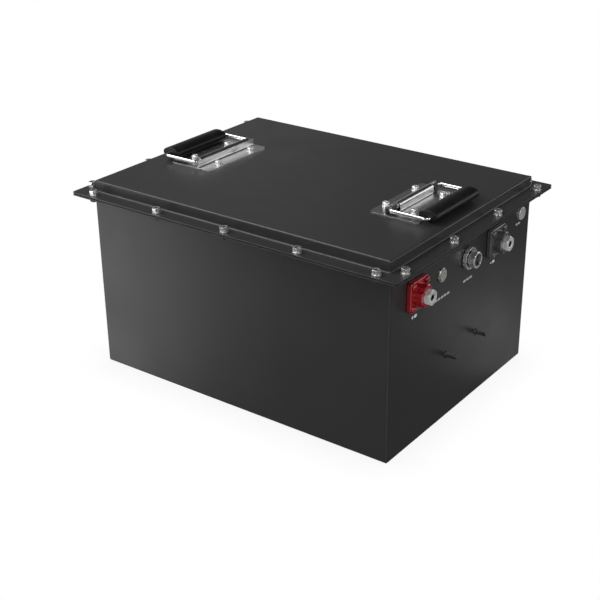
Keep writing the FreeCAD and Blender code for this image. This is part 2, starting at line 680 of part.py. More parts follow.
def build_handles():
    right = {
        "handle_plate": [handle_plate()],
        "handle_bail": [handle_bail()],
        "handle_grip": [handle_grip()],
        "handle_springs": [handle_spring(-1), handle_spring(1)],
    }
    for name, shapes in right.items():
        export("right_" + name, shapes)
        export("left_" + name, [turned_half_circle(s) for s in shapes])
    bushes = [handle_bush(-1), handle_bush(1)]
    export("handle_bushes", bushes + [turned_half_circle(s) for s in bushes])

    plate_top = LID_TOP_Z + PLATE_T
    lock_z = plate_top + SCREW_FLAT_T
    flat = ring(V(0, 0, 0), Z_AXIS, SCREW_HEAD_R + 0.25, SCREW_R + 0.15, SCREW_FLAT_T)
    lock = spring_washer(SCREW_HEAD_R - 0.25, SCREW_R + 0.1, SCREW_LOCK_T)
    screw = handle_screw()
    nut = place(flange_nut(HANDLE_NUT, SCREW_R + THREAD_GAP), V(0, 0, 0), Z_AXIS * -1)
    places = handle_screw_points()
    washers = [moved(flat, x, y, plate_top) for x, y in places]
    washers += [moved(lock, x, y, lock_z) for x, y in places]
    export("handle_washers", washers)
    export("handle_screws", [moved(screw, x, y, lock_z + SCREW_LOCK_T) for x, y in places])
    export("handle_nuts", [moved(nut, x, y, LID_TOP_Z - SHEET) for x, y in places])


# ---------------------------------------------------------------- main terminals

def terminal_housing(pole):
    """Square flange, grooved round body and a boss that passes through the wall."""
    y = TERMINAL_Y[pole]
    z = TERMINAL_Z[pole]
    half = TERMINAL_FLANGE / 2.0
    x0 = WALL_X + TERMINAL_SEAL_T
    x1 = x0 + TERMINAL_FLANGE_T
    flange = box(x0, x1, y - half, y + half, z - half, z + half)
    flange = flange.makeFillet(4.0, edges_along(flange, X_AXIS))
    flange = flange.makeFillet(TERMINAL_FLANGE_EDGE_R, rim_at_x(flange, x1))
    body_len = WALL_X + TERMINAL_BODY_END - x1
    body = cylinder(V(x1, y, z), X_AXIS, TERMINAL_BODY_R, body_len)
    body = body.makeChamfer(0.8, rim_at_x(body, x1 + body_len))
    groove_out = TERMINAL_BODY_R + TERMINAL_GROOVE_R - TERMINAL_GROOVE_DEPTH
    for i in range(TERMINAL_GROOVES):
        angle = 2.0 * math.pi * (i + 0.5) / TERMINAL_GROOVES
        offset = V(0, math.cos(angle), math.sin(angle)) * groove_out
        body = body.cut(cylinder(V(x1 + 1.0, y, z) + offset, X_AXIS, TERMINAL_GROOVE_R, body_len))
    boss = cylinder(on_wall(y, z, -TERMINAL_BOSS_BACK), X_AXIS, TERMINAL_BOSS_R,
                    TERMINAL_BOSS_BACK + TERMINAL_SEAL_T)
    housing = flange.fuse([body, boss])
    housing = housing.cut(cylinder(V(WALL_X - 20, y, z), X_AXIS, TERMINAL_SHANK_R + THREAD_GAP, 60))
    holes = []
    for sy, sz in terminal_screw_points(pole):
        holes.append(cylinder(V(x0 - 1, sy, sz), X_AXIS, TERMINAL_SCREW_R + 0.2, 10))
        holes.append(cylinder(V(x1 - TERMINAL_POCKET_DEPTH, sy, sz), X_AXIS, TERMINAL_POCKET_R, 10))
    return drill(housing, holes)


def terminal_stud(pole):
    """Plated conductor: hex head with an M8 bore outside, M10 thread inside."""
    y = TERMINAL_Y[pole]
    z = TERMINAL_Z[pole]
    head_len = TERMINAL_HEX_END - TERMINAL_BODY_END
    head = hexagon(on_wall(y, z, TERMINAL_BODY_END), X_AXIS, TERMINAL_HEX_AF, head_len, 1.2)
    shank = cylinder(on_wall(y, z, -TERMINAL_BOSS_BACK), X_AXIS, TERMINAL_SHANK_R,
                     TERMINAL_BODY_END + TERMINAL_BOSS_BACK)
    thread = cylinder(on_wall(y, z, -INNER_THREAD_BACK), X_AXIS, INNER_THREAD_R,
                      INNER_THREAD_BACK - TERMINAL_BOSS_BACK)
    bore = cylinder(on_wall(y, z, TERMINAL_HEX_END - TERMINAL_BORE_DEPTH), X_AXIS, TERMINAL_BORE_R,
                    TERMINAL_BORE_DEPTH + 1)
    mouth_depth = 0.9
    mouth = Part.makeCone(TERMINAL_BORE_R, TERMINAL_BORE_R + mouth_depth, mouth_depth,
                          on_wall(y, z, TERMINAL_HEX_END - mouth_depth), X_AXIS)
    return head.fuse([shank, thread]).cut(bore).cut(mouth)


def terminal_caps(pole):
    """Domed plugs over the four flange screws."""
    caps = []
    seat = WALL_X + TERMINAL_SEAL_T + TERMINAL_FLANGE_T - TERMINAL_CAP_SINK
    for y, z in terminal_screw_points(pole):
        cap = cylinder(V(seat, y, z), X_AXIS, TERMINAL_CAP_R, TERMINAL_CAP_H)
        caps.append(cap.makeFillet(TERMINAL_CAP_DOME_R, rim_at_x(cap, seat + TERMINAL_CAP_H)))
    return caps


def terminal_seal(pole):
    y = TERMINAL_Y[pole]
    z = TERMINAL_Z[pole]
    half = TERMINAL_SEAL_HALF
    cuts = [cylinder(V(WALL_X - 1, y, z), X_AXIS, TERMINAL_BOSS_R + 0.2, 5)]
    for sy, sz in terminal_screw_points(pole):
        cuts.append(cylinder(V(WALL_X - 1, sy, sz), X_AXIS, TERMINAL_SCREW_R + 0.2, 5))
    return drill(box(WALL_X, WALL_X + TERMINAL_SEAL_T, y - half, y + half, z - half, z + half), cuts)


def terminal_screw(y, z):
    """Screw through the flange and the wall, its head in the pocket under a cap."""
    head_seat = WALL_X + TERMINAL_SEAL_T + TERMINAL_FLANGE_T - TERMINAL_POCKET_DEPTH
    tip = WALL_X - SHEET - TERMINAL_NUT_H - 1.8
    shank = cylinder(V(tip, y, z), X_AXIS, TERMINAL_SCREW_R, head_seat - tip)
    head = cylinder(V(head_seat, y, z), X_AXIS, TERMINAL_SCREW_HEAD_R, TERMINAL_SCREW_HEAD_H)
    return shank.fuse(head)


def lug_nut(pole):
    across_flats, height = LUG_NUT
    seat = on_wall(TERMINAL_Y[pole], TERMINAL_Z[pole], -TERMINAL_BOSS_BACK - LUG_T - height)
    nut = hexagon(seat, X_AXIS, across_flats, height, 0.8)
    return nut.cut(cylinder(seat - X_AXIS, X_AXIS, INNER_THREAD_R + THREAD_GAP, height + 2.0))


def build_terminals():
    screws = []
    nuts = []
    for pole in TERMINAL_Y:
        export(pole + "_terminal_housing", [terminal_housing(pole)])
        export(pole + "_terminal_stud", [terminal_stud(pole)])
        export(pole + "_terminal_caps", terminal_caps(pole))
        for y, z in terminal_screw_points(pole):
            screws.append(terminal_screw(y, z))
            nuts.append(panel_nut(y, z, (7.0, TERMINAL_NUT_H), TERMINAL_SCREW_R))
    export("terminal_flange_screws", screws)
    export("terminal_flange_nuts", nuts)
    export("terminal_seals", [terminal_seal(pole) for pole in TERMINAL_Y])
    export("terminal_lug_nuts", [lug_nut(pole) for pole in TERMINAL_Y])


# ---------------------------------------------------------------- charging socket

def socket_shell():
    """Six-sided collar with scalloped corners, round barrel and a threaded tail."""
    y = SOCKET_Y
    z = SOCKET_Z
    hex_len = SOCKET_HEX_END - SOCKET_SEAL_T
    collar = hexagon(on_wall(y, z, SOCKET_SEAL_T), X_AXIS, SOCKET_HEX_AF, hex_len, 1.6)
    corner_r = SOCKET_HEX_AF / math.sqrt(3.0)
    for i in range(6):
        angle = math.radians(90.0 + 60.0 * i)
        corner = on_wall(y, z, 0) + V(0, math.cos(angle), math.sin(angle)) * corner_r
        collar = collar.cut(cylinder(corner, X_AXIS, SOCKET_NOTCH_R, SOCKET_HEX_END + 1.0))
    collar.rotate(on_wall(y, z, 0), X_AXIS, SOCKET_HEX_TURN)
    barrel = cylinder(on_wall(y, z, SOCKET_HEX_END), X_AXIS, SOCKET_BARREL_R, SOCKET_END - SOCKET_HEX_END)
    barrel = barrel.makeChamfer(0.7, rim_at_x(barrel, WALL_X + SOCKET_END))
    thread = cylinder(on_wall(y, z, -SOCKET_BACK), X_AXIS, SOCKET_THREAD_R, SOCKET_BACK + SOCKET_SEAL_T)
    shell = collar.fuse([barrel, thread])
    shell = shell.cut(cylinder(on_wall(y, z, -SOCKET_LIP_BACK), X_AXIS, SOCKET_BORE_R, 40))
    return shell.cut(cylinder(on_wall(y, z, -SOCKET_BACK - 1), X_AXIS, SOCKET_BORE_R - SOCKET_LIP, 20))


def socket_insert():
    y = SOCKET_Y
    z = SOCKET_Z
    body = cylinder(on_wall(y, z, -SOCKET_LIP_BACK), X_AXIS, SOCKET_BORE_R - THREAD_GAP,
                    SOCKET_LIP_BACK + SOCKET_FACE)
    for dz in (-CONTACT_OFFSET, CONTACT_OFFSET):
        body = body.cut(cylinder(on_wall(y, z + dz, -CONTACT_BACK), X_AXIS, CONTACT_HOLE_R, 30))
        body = body.cut(cylinder(on_wall(y, z + dz, -20.0), X_AXIS, CONTACT_TAIL_R + 0.1, 30))
    return body


def socket_contacts():
    contacts = []
    for dz in (-CONTACT_OFFSET, CONTACT_OFFSET):
        z = SOCKET_Z + dz
        foot = on_wall(SOCKET_Y, z, -CONTACT_BACK)
        sleeve = ring(foot, X_AXIS, CONTACT_R, CONTACT_PIN_R, CONTACT_L)
        base = cylinder(foot, X_AXIS, CONTACT_R, 2.0)
        tail = cylinder(on_wall(SOCKET_Y, z, -SOCKET_BACK), X_AXIS, CONTACT_TAIL_R,
                        SOCKET_BACK - CONTACT_BACK)
        contacts.append(sleeve.fuse([base, tail]))
    return contacts


def panel_nut(y, z, sizes, bore_r):
    """Nut that clamps a fitting against the inside of the connector wall."""
    across_flats, height = sizes
    nut = hexagon(on_wall(y, z, -SHEET - height), X_AXIS, across_flats, height, 0.3)
    return nut.cut(cylinder(on_wall(y, z, -20), X_AXIS, bore_r + THREAD_GAP, 30))


def build_socket():
    export("charge_socket_shell", [socket_shell()])
    export("charge_socket_insert", [socket_insert()])
    export("charge_socket_contacts", socket_contacts())
    export("charge_socket_nut", [panel_nut(SOCKET_Y, SOCKET_Z, SOCKET_NUT, SOCKET_THREAD_R)])
    seal = ring(on_wall(SOCKET_Y, SOCKET_Z, 0), X_AXIS, SOCKET_SEAL_R, SOCKET_THREAD_R + 0.2, SOCKET_SEAL_T)
    export("charge_socket_seal", [seal])


# ---------------------------------------------------------------- power button

def button_housing():
    y = BUTTON_Y
    z = BUTTON_Z
    bezel = cylinder(on_wall(y, z, 0), X_AXIS, BUTTON_BEZEL_R, BUTTON_BEZEL_END)
    bezel = bezel.makeFillet(1.2, rim_at_x(bezel, WALL_X + BUTTON_BEZEL_END))
    thread = cylinder(on_wall(y, z, -BUTTON_BACK), X_AXIS, BUTTON_THREAD_R, BUTTON_BACK)
    housing = bezel.fuse(thread)
    front_bore = BUTTON_CAP_R + RUNNING_GAP
    housing = housing.cut(cylinder(on_wall(y, z, -BUTTON_STEP_BACK), X_AXIS, front_bore, 20))
    housing = housing.cut(cylinder(on_wall(y, z, -BUTTON_FLOOR_BACK), X_AXIS, BUTTON_CHAMBER_R,
                                   BUTTON_FLOOR_BACK - BUTTON_STEP_BACK))
    tabs = []
    for dy in (-BUTTON_TAB_Y, BUTTON_TAB_Y):
        tabs.append(box(WALL_X - BUTTON_BACK - 3.0, WALL_X - BUTTON_BACK, y + dy - 0.3, y + dy + 0.3,
                        z - 1.2, z + 1.2))
    return housing.fuse(tabs)


def button_cap():
    """Domed plunger with a shoulder that holds it behind the bezel."""
    y = BUTTON_Y
    z = BUTTON_Z
    step = BUTTON_STEP_BACK + 0.05
    stem = cylinder(on_wall(y, z, -step - 0.5), X_AXIS, BUTTON_CAP_R, BUTTON_CAP_END + step + 0.5)
    stem = stem.makeFillet(0.8, rim_at_x(stem, WALL_X + BUTTON_CAP_END))
    shoulder = cylinder(on_wall(y, z, -step - BUTTON_SHOULDER_T), X_AXIS, BUTTON_CHAMBER_R - 0.1,
                        BUTTON_SHOULDER_T)
    pocket = cylinder(on_wall(y, z, -step - BUTTON_SHOULDER_T - 1), X_AXIS, BUTTON_POCKET_R,
                      BUTTON_POCKET_DEPTH)
    return stem.fuse(shoulder).cut(pocket)


def button_spring():
    """Compression spring between the housing's floor and the bottom of the cap's pocket."""
    floor = BUTTON_FLOOR_BACK - SPRING_WIRE_R - RUNNING_GAP
    pocket_bottom = BUTTON_STEP_BACK + BUTTON_SHOULDER_T + 1.0 - BUTTON_POCKET_DEPTH
    length = floor - pocket_bottom - SPRING_WIRE_R - RUNNING_GAP
    body = coil(SPRING_WIRE_R, BUTTON_SPRING_R, length, BUTTON_SPRING_PITCH)
    return place(body, on_wall(BUTTON_Y, BUTTON_Z, -floor), X_AXIS)


def build_button():
    export("power_button_housing", [button_housing()])
    export("power_button_cap", [button_cap()])
    export("power_button_spring", [button_spring()])
    export("power_button_nut", [panel_nut(BUTTON_Y, BUTTON_Z, BUTTON_NUT, BUTTON_THREAD_R)])


# ---------------------------------------------------------------- vent and bracket studs

def vent_body():
    """Breather plug: slotted head outside, hollow thread through the wall."""
    y = VENT_Y
    z = VENT_Z
    head = cylinder(on_wall(y, z, 0), X_AXIS, VENT_HEAD_R, VENT_HEAD_END)
    head = head.makeFillet(1.0, rim_at_x(head, WALL_X + VENT_HEAD_END))
    plug = head.fuse(cylinder(on_wall(y, z, -VENT_BACK), X_AXIS, VENT_THREAD_R, VENT_BACK))
    behind = on_wall(y, z, -VENT_BACK - 1.0)
    plug = plug.cut(cylinder(behind, X_AXIS, VENT_CAVITY_R, VENT_CAVITY_END + VENT_BACK + 1.0))
    plug = plug.cut(cylinder(behind, X_AXIS, VENT_SEAT_R, VENT_BACK + 1.0 - VENT_SEAT_BACK))
    half_w = VENT_SLOT_W / 2.0
    slots = []
    for i in range(VENT_SLOTS):
        slot = box(WALL_X + VENT_SLOT_FROM, WALL_X + VENT_SLOT_TO, y - half_w, y + half_w,
                   z, z + VENT_HEAD_R + 3.0)
        slot.rotate(V(WALL_X, y, z), X_AXIS, 360.0 / VENT_SLOTS * (i + 0.5))
        slots.append(slot)
    return drill(plug, slots)


def bracket_stud(y):
    """Weld stud with a low collar at its root and a chamfered tip."""
    collar = cylinder(on_wall(y, STUD_Z, 0), X_AXIS, STUD_COLLAR_R, STUD_COLLAR_T)
    stem = cylinder(on_wall(y, STUD_Z, 0), X_AXIS, STUD_R, STUD_END)
    return collar.fuse(stem.makeChamfer(0.8, rim_at_x(stem, WALL_X + STUD_END)))


def build_vent_and_studs():
    export("vent_body", [vent_body()])
    membrane_t = 0.3
    membrane = cylinder(on_wall(VENT_Y, VENT_Z, -VENT_SEAT_BACK - membrane_t), X_AXIS,
                        VENT_SEAT_R - RUNNING_GAP, membrane_t)
    export("vent_membrane", [membrane])
    export("vent_nut", [panel_nut(VENT_Y, VENT_Z, VENT_NUT, VENT_THREAD_R)])
    export("bracket_studs", [bracket_stud(-STUD_Y), bracket_stud(STUD_Y)])


# ---------------------------------------------------------------- cells

def cell_x(index):
    """Centre of a cell along the stack, counted from the +X end."""
    return STACK_END_X - CELL_X / 2.0 - index * CELL_PITCH


def cell_posts():
    """(x, y) of every cell post."""
    points = []
    for index in range(CELLS_PER_ROW):
        for side in (-1, 1):
            points.append((cell_x(index), side * INNER_POST_Y))
            points.append((cell_x(index), side * OUTER_POST_Y))
    return points


def build_cells():
    cells = []
    spacers = []
    for side in (-1, 1):
        y0 = side * ROW_CENTRE_Y - CELL_Y / 2.0
        y1 = side * ROW_CENTRE_Y + CELL_Y / 2.0
        for index in range(CELLS_PER_ROW):
            x = cell_x(index)
            can = box(x - CELL_X / 2.0, x + CELL_X / 2.0, y0, y1, CELL_BASE_Z, CELL_TOP_Z)
            cells.append(can.makeFillet(CELL_CORNER_R, edges_along(can, Z_AXIS)))
            if index > 0:
                face = x + CELL_X / 2.0
                spacers.append(box(face, face + SPACER_T, y0, y1, CELL_BASE_Z, CELL_TOP_Z))
    spacers.append(box(STACK_START_X, STACK_END_X, -ROW_GAP / 2.0, ROW_GAP / 2.0, CELL_BASE_Z, CELL_TOP_Z))
    export("cells", cells)
    export("cell_spacers", spacers)
    posts = []
    for x, y in cell_posts():
        post = cylinder(V(x, y, CELL_TOP_Z), Z_AXIS, POST_R, POST_H)
        posts.append(post.fuse(cylinder(V(x, y, POST_TOP_Z), Z_AXIS, BOLT_R, POST_THREAD_L)))
    export("cell_terminals", posts)


def link_ends():
    """End posts of every link, in series order along both rows."""
    pairs = []
    for side in (-1, 1):
        for index in range(CELLS_PER_ROW - 1):
            y = side * (OUTER_POST_Y if index % 2 == 0 else INNER_POST_Y)
            pairs.append(((cell_x(index + 1), y), (cell_x(index), y)))
    last_x = cell_x(CELLS_PER_ROW - 1)
    pairs.append(((last_x, -INNER_POST_Y), (last_x, INNER_POST_Y)))
    return pairs


def cell_link(start, end):
    x0 = min(start[0], end[0]) - LINK_HALF_W
    x1 = max(start[0], end[0]) + LINK_HALF_W
    y0 = min(start[1], end[1]) - LINK_HALF_W
    y1 = max(start[1], end[1]) + LINK_HALF_W
    bar = box(x0, x1, y0, y1, POST_TOP_Z, POST_TOP_Z + LINK_T)
    bar = bar.makeFillet(LINK_CORNER_R, edges_along(bar, Z_AXIS))
    holes = []
    for x, y in (start, end):
        holes.append(cylinder(V(x, y, POST_TOP_Z - 1), Z_AXIS, BOLT_R + 0.2, LINK_T + 2))
    return drill(bar, holes)


def build_links():
    pairs = link_ends()
    nut = flange_nut(LINK_NUT, BOLT_R + THREAD_GAP)
    nuts = []
    for pair in pairs:
        for x, y in pair:
            nuts.append(moved(nut, x, y, POST_TOP_Z + LINK_T))
    for side in (-1, 1):
        nuts.append(moved(nut, cell_x(0), side * INNER_POST_Y, POST_TOP_Z + LUG_T))
    export("cell_links", [cell_link(start, end) for start, end in pairs])
    export("cell_link_nuts", nuts)


def tray_screw_points():
    low_x = STACK_START_X - END_PLATE_T / 2.0
    high_x = STACK_END_X + END_PLATE_T / 2.0
    points = [(low_x, 0.0)]
    for x in (low_x, high_x):
        points.append((x, -TRAY_SCREW_Y))
        points.append((x, TRAY_SCREW_Y))
    return points


def build_stack_frame():
    plates = []
    for x0 in (STACK_START_X - END_PLATE_T, STACK_END_X):
        plate = box(x0, x0 + END_PLATE_T, -STACK_HALF_Y, STACK_HALF_Y, CELL_BASE_Z, TRAY_Z)
        holes = []
        for x, y in tray_screw_points():
            holes.append(cylinder(V(x, y, TRAY_Z - TRAY_SCREW_L - 1.0), Z_AXIS, TRAY_SCREW_R + THREAD_GAP,
                                  TRAY_SCREW_L + 2.0))
        plates.append(drill(plate, holes))
    export("end_plates", plates)
    bands = []
    x0 = STACK_START_X - END_PLATE_T
    x1 = STACK_END_X + END_PLATE_T
    for z in BAND_Z:
        outer = box(x0 - BAND_T, x1 + BAND_T, -STACK_HALF_Y - BAND_T, STACK_HALF_Y + BAND_T,
                    z - BAND_H / 2.0, z + BAND_H / 2.0)
        bands.append(outer.cut(box(x0, x1, -STACK_HALF_Y, STACK_HALF_Y, z - BAND_H, z + BAND_H)))
    export("compression_bands", bands)
    pad_half_y = STACK_HALF_Y + 1.0
    export("base_pad", [box(x0 - 1.0, x1 + 1.0, -pad_half_y, pad_half_y, SHEET, CELL_BASE_Z)])
    pads = []
    for side in (-1, 1):
        inner = side * (STACK_HALF_Y + BAND_T + 0.2)
        outer = side * (CASE_W / 2.0 - SHEET - 0.2)
        pads.append(box(STACK_START_X + SIDE_PAD_INSET, STACK_END_X - SIDE_PAD_INSET,
                        min(inner, outer), max(inner, outer), SIDE_PAD_Z[0], SIDE_PAD_Z[1]))
    export("side_pads", pads)


# ---------------------------------------------------------------- tray and electronics

def bms_screw_points():
    points = []
    for x in (BMS_X[0] + BMS_SCREW_INSET, BMS_X[1] - 20.0):
        points.append((x, -BMS_HALF_Y + BMS_SCREW_INSET))
        points.append((x, BMS_HALF_Y - BMS_SCREW_INSET))
    return points


def tray_fasteners():
    """Screws that hold the tray down, and the pillars that carry the circuit board."""
    top = TRAY_Z + TRAY_T
    board_top = BMS_BOARD_Z + BMS_BOARD_T
    fasteners = []
    for x, y in tray_screw_points():
        shank = cylinder(V(x, y, TRAY_Z - TRAY_SCREW_L), Z_AXIS, TRAY_SCREW_R, TRAY_SCREW_L + TRAY_T)
        fasteners.append(shank.fuse(cylinder(V(x, y, top), Z_AXIS, 2.4, 2.2)))
    for x, y in bms_screw_points():
        pillar = hexagon(V(x, y, top), Z_AXIS, 6.0, BMS_BOARD_Z - top)
        stem = cylinder(V(x, y, BMS_BOARD_Z), Z_AXIS, TRAY_SCREW_R, BMS_BOARD_T)
        head = cylinder(V(x, y, board_top), Z_AXIS, 2.8, 2.0)
        fasteners.append(pillar.fuse([stem, head]))
    return fasteners


def build_tray():
    top = TRAY_Z + TRAY_T
    x0 = STACK_START_X - END_PLATE_T
    x1 = STACK_END_X + END_PLATE_T
    tray = box(x0, x1, -TRAY_HALF_Y, TRAY_HALF_Y, TRAY_Z, top)
    cuts = [box(TRAY_NOTCH_X, x1 + 1.0, -TRAY_NOTCH_HALF_Y, TRAY_NOTCH_HALF_Y, TRAY_Z - 1, top + 1)]
    for side in (-1, 1):
        cuts.append(cylinder(V(TRUNK_RISE_X, side * TRUNK_Y, TRAY_Z - 1), Z_AXIS, 6.0, 4.0))
    for x, y in tray_screw_points():
        cuts.append(cylinder(V(x, y, TRAY_Z - 1), Z_AXIS, TRAY_SCREW_R + 0.3, 4.0))
    export("bms_tray", [drill(tray, cuts)])
    export("tray_fasteners", tray_fasteners())


def bms_board():
    """Bare board with its drilled screw holes."""
    board = box(BMS_X[0], BMS_X[1], -BMS_HALF_Y, BMS_HALF_Y, BMS_BOARD_Z, BMS_BOARD_Z + BMS_BOARD_T)
    holes = []
    for x, y in bms_screw_points():
        holes.append(cylinder(V(x, y, BMS_BOARD_Z - 1), Z_AXIS, TRAY_SCREW_R + 0.1, 4))
    return drill(board, holes)


def bms_components(top):
    """Power posts, lead connectors, sense sockets and transistors that stand on the board."""
    parts = []
    for y in BMS_POST_Y:
        pillar = cylinder(V(BMS_POST_X, y, top), Z_AXIS, BMS_POST_R, LUG_SEAT_Z - top)
        parts.append(pillar.fuse(cylinder(V(BMS_POST_X, y, LUG_SEAT_Z), Z_AXIS, BMS_STUD_R, 10.0)))
    for y in (BUTTON_LEAD_Y, SOCKET_Y):
        parts.append(box(BMS_X[1] - 15.0, BMS_X[1] - 3.0, y - 6.0, y + 6.0, top, top + BMS_CONNECTOR_H))
    for y in (-SENSE_SOCKET_Y, SENSE_SOCKET_Y):
        parts.append(box(BMS_X[0] + 2.0, BMS_X[0] + 12.0, y - SENSE_SOCKET_HALF, y + SENSE_SOCKET_HALF,
                         top, top + SENSE_SOCKET_H))
    for i in range(TRANSISTORS_PER_ROW):
        x = TRANSISTOR_X + TRANSISTOR_PITCH * i
        for y in (-TRANSISTOR_Y, TRANSISTOR_Y):
            parts.append(box(x - 5.0, x + 5.0, y - 7.0, y + 7.0, top, top + TRANSISTOR_H))
    return parts


def heatsink(base_z):
    """Finned plate that lies on the transistors."""
    x0, x1 = HEATSINK_X
    fin_z = base_z + HEATSINK_BASE_T
    plate = box(x0, x1, -HEATSINK_HALF_Y, HEATSINK_HALF_Y, base_z, fin_z)
    first_y = -HEATSINK_HALF_Y + 3.0
    fin_pitch = -2.0 * first_y / (HEATSINK_FINS - 1)
    fins = []
    for i in range(HEATSINK_FINS):
        y = first_y + i * fin_pitch
        fins.append(box(x0, x1, y - FIN_T / 2.0, y + FIN_T / 2.0, fin_z, base_z + HEATSINK_H))
    return plate.fuse(fins)


def build_bms():
    top = BMS_BOARD_Z + BMS_BOARD_T
    export("bms_board", [bms_board()] + bms_components(top))
    export("bms_heatsink", [heatsink(top + TRANSISTOR_H)])


def build_fuse():
    top = TRAY_Z + TRAY_T
    mid_y = (FUSE_Y[0] + FUSE_Y[1]) / 2.0
    half = abs(FUSE_Y[0] - FUSE_Y[1]) / 2.0
    # the base straddles the tray's notch, so it stands wholly on the solid part
    base = box(FUSE_X - 40.0, FUSE_X + 14.0, mid_y - half - 12, mid_y + half + 12, top, LUG_SEAT_Z)
    posts = [cylinder(V(FUSE_X, y, LUG_SEAT_Z), Z_AXIS, FUSE_STUD_R, 11.0) for y in FUSE_Y]
    bar = box(FUSE_X - 30.0, FUSE_X - 16.0, mid_y - 10.0, mid_y + 10.0, LUG_SEAT_Z, LUG_SEAT_Z + 9.0)
    export("main_fuse", [base.fuse(posts + [bar])])


# ---------------------------------------------------------------- cables and harness

def flat_lug(centre, way, hole_r):
    """Ring lug lying flat: its tab at centre, its barrel leading off along way."""
    tab = cylinder(V(0, 0, 0), Z_AXIS, LUG_TAB_R, LUG_T)
    tab = tab.fuse(box(0, LUG_BARREL_FROM + 2.5, -6.0, 6.0, 0, LUG_T))
    barrel = cylinder(V(LUG_BARREL_FROM, 0, LUG_BARREL_R), X_AXIS, LUG_BARREL_R, LUG_BARREL_L)
    lug = tab.fuse(barrel).cut(cylinder(V(0, 0, -1), Z_AXIS, hole_r, LUG_T + 2))
    lug = lug.cut(cylinder(V(CABLE_FROM - 0.5, 0, LUG_BARREL_R), X_AXIS, CABLE_R + 0.02, 20.0))
    lug.rotate(V(0, 0, 0), Z_AXIS, way)
    lug.translate(centre)
    return lug


def upright_lug(pole):
    """Lug clamped on a terminal's inner thread, its barrel leading up."""
    lug = flat_lug(V(0, 0, 0), 0, INNER_THREAD_R + 0.1)
    lug.rotate(V(0, 0, 0), Y_AXIS, -90)
    lug.translate(on_wall(TERMINAL_Y[pole], TERMINAL_Z[pole], -TERMINAL_BOSS_BACK))
    return lug


def build_cables():
    tap_x = cell_x(0)
    tap_z = TAP_BARREL_Z
    level = CABLE_LEVEL_Z
    lead_in = CABLE_FROM
    drop_x = WALL_X - TERMINAL_BOSS_BACK - LUG_BARREL_R

    rise_y = FUSE_Y[0]
    tap_to_fuse = rod_path([V(tap_x, -INNER_POST_Y - lead_in, tap_z), V(tap_x, rise_y, tap_z),
                            V(tap_x, rise_y, level), V(FUSE_X + lead_in, rise_y, level)],
                           CABLE_R, CABLE_BEND_R)
    pos_y = TERMINAL_Y["positive"]
    fuse_to_terminal = rod_path([V(drop_x, pos_y, TERMINAL_Z["positive"] + lead_in), V(drop_x, pos_y, level),
                                 V(FUSE_X + lead_in, pos_y, level)], CABLE_R, CABLE_BEND_R)
    export("positive_cables", [tap_to_fuse, fuse_to_terminal])

    rise_x = tap_x - 46.0
    bms_in = BMS_POST_X + lead_in
    tap_to_bms = rod_path([V(tap_x - lead_in, INNER_POST_Y, tap_z), V(rise_x, INNER_POST_Y, tap_z),
                           V(rise_x, INNER_POST_Y, level), V(bms_in, INNER_POST_Y, level)],
                          CABLE_R, CABLE_BEND_R)
    neg_y = TERMINAL_Y["negative"]
    bend_x = 45.0
    bms_to_terminal = rod_path([V(drop_x, neg_y, TERMINAL_Z["negative"] + lead_in), V(drop_x, neg_y, level),
                                V(bend_x, neg_y, level), V(bend_x, BMS_POST_Y[1], level),
                                V(bms_in, BMS_POST_Y[1], level)], CABLE_R, CABLE_BEND_R)
    export("negative_cables", [tap_to_bms, bms_to_terminal])

    lugs = [
        flat_lug(V(tap_x, -INNER_POST_Y, POST_TOP_Z), -90, BOLT_R + 0.2),
        flat_lug(V(FUSE_X, FUSE_Y[0], LUG_SEAT_Z), 0, FUSE_STUD_R + 0.2),
        flat_lug(V(FUSE_X, FUSE_Y[1], LUG_SEAT_Z), 0, FUSE_STUD_R + 0.2),
        flat_lug(V(tap_x, INNER_POST_Y, POST_TOP_Z), 180, BOLT_R + 0.2),
        flat_lug(V(BMS_POST_X, BMS_POST_Y[0], LUG_SEAT_Z), 0, BMS_STUD_R + 0.2),
        flat_lug(V(BMS_POST_X, BMS_POST_Y[1], LUG_SEAT_Z), 0, BMS_STUD_R + 0.2),
        upright_lug("positive"),
        upright_lug("negative"),
    ]
    export("cable_lugs", lugs)


def sense_trunk(side):
    """Bundle along one row with a branch beside every link, rising to the electronics."""
    z = CELL_TOP_Z + TRUNK_R + 0.1
    y = side * TRUNK_Y
    rise_x = TRUNK_RISE_X
    top_z = BMS_BOARD_Z + BMS_BOARD_T + 5.0
    socket_y = side * SENSE_SOCKET_Y
    trunk = rod_path([V(cell_x(0), y, z), V(rise_x, y, z), V(rise_x, y, top_z), V(rise_x, socket_y, top_z),
                      V(BMS_X[0] + 1.9, socket_y, top_z)], TRUNK_R, TRUNK_BEND_R)
    branches = []
    for index in range(CELLS_PER_ROW - 1):
        x = (cell_x(index) + cell_x(index + 1)) / 2.0
        if index % 2 == 0:
            reach = OUTER_POST_Y - LINK_HALF_W - 0.3
        else:
            reach = INNER_POST_Y + LINK_HALF_W + 0.3
        start = V(x, min(side * reach, y), POST_TOP_Z + LINK_T / 2.0 - 0.6)
        branches.append(cylinder(start, Y_AXIS, BRANCH_R, abs(side * reach - y)))
    return trunk.fuse(branches)


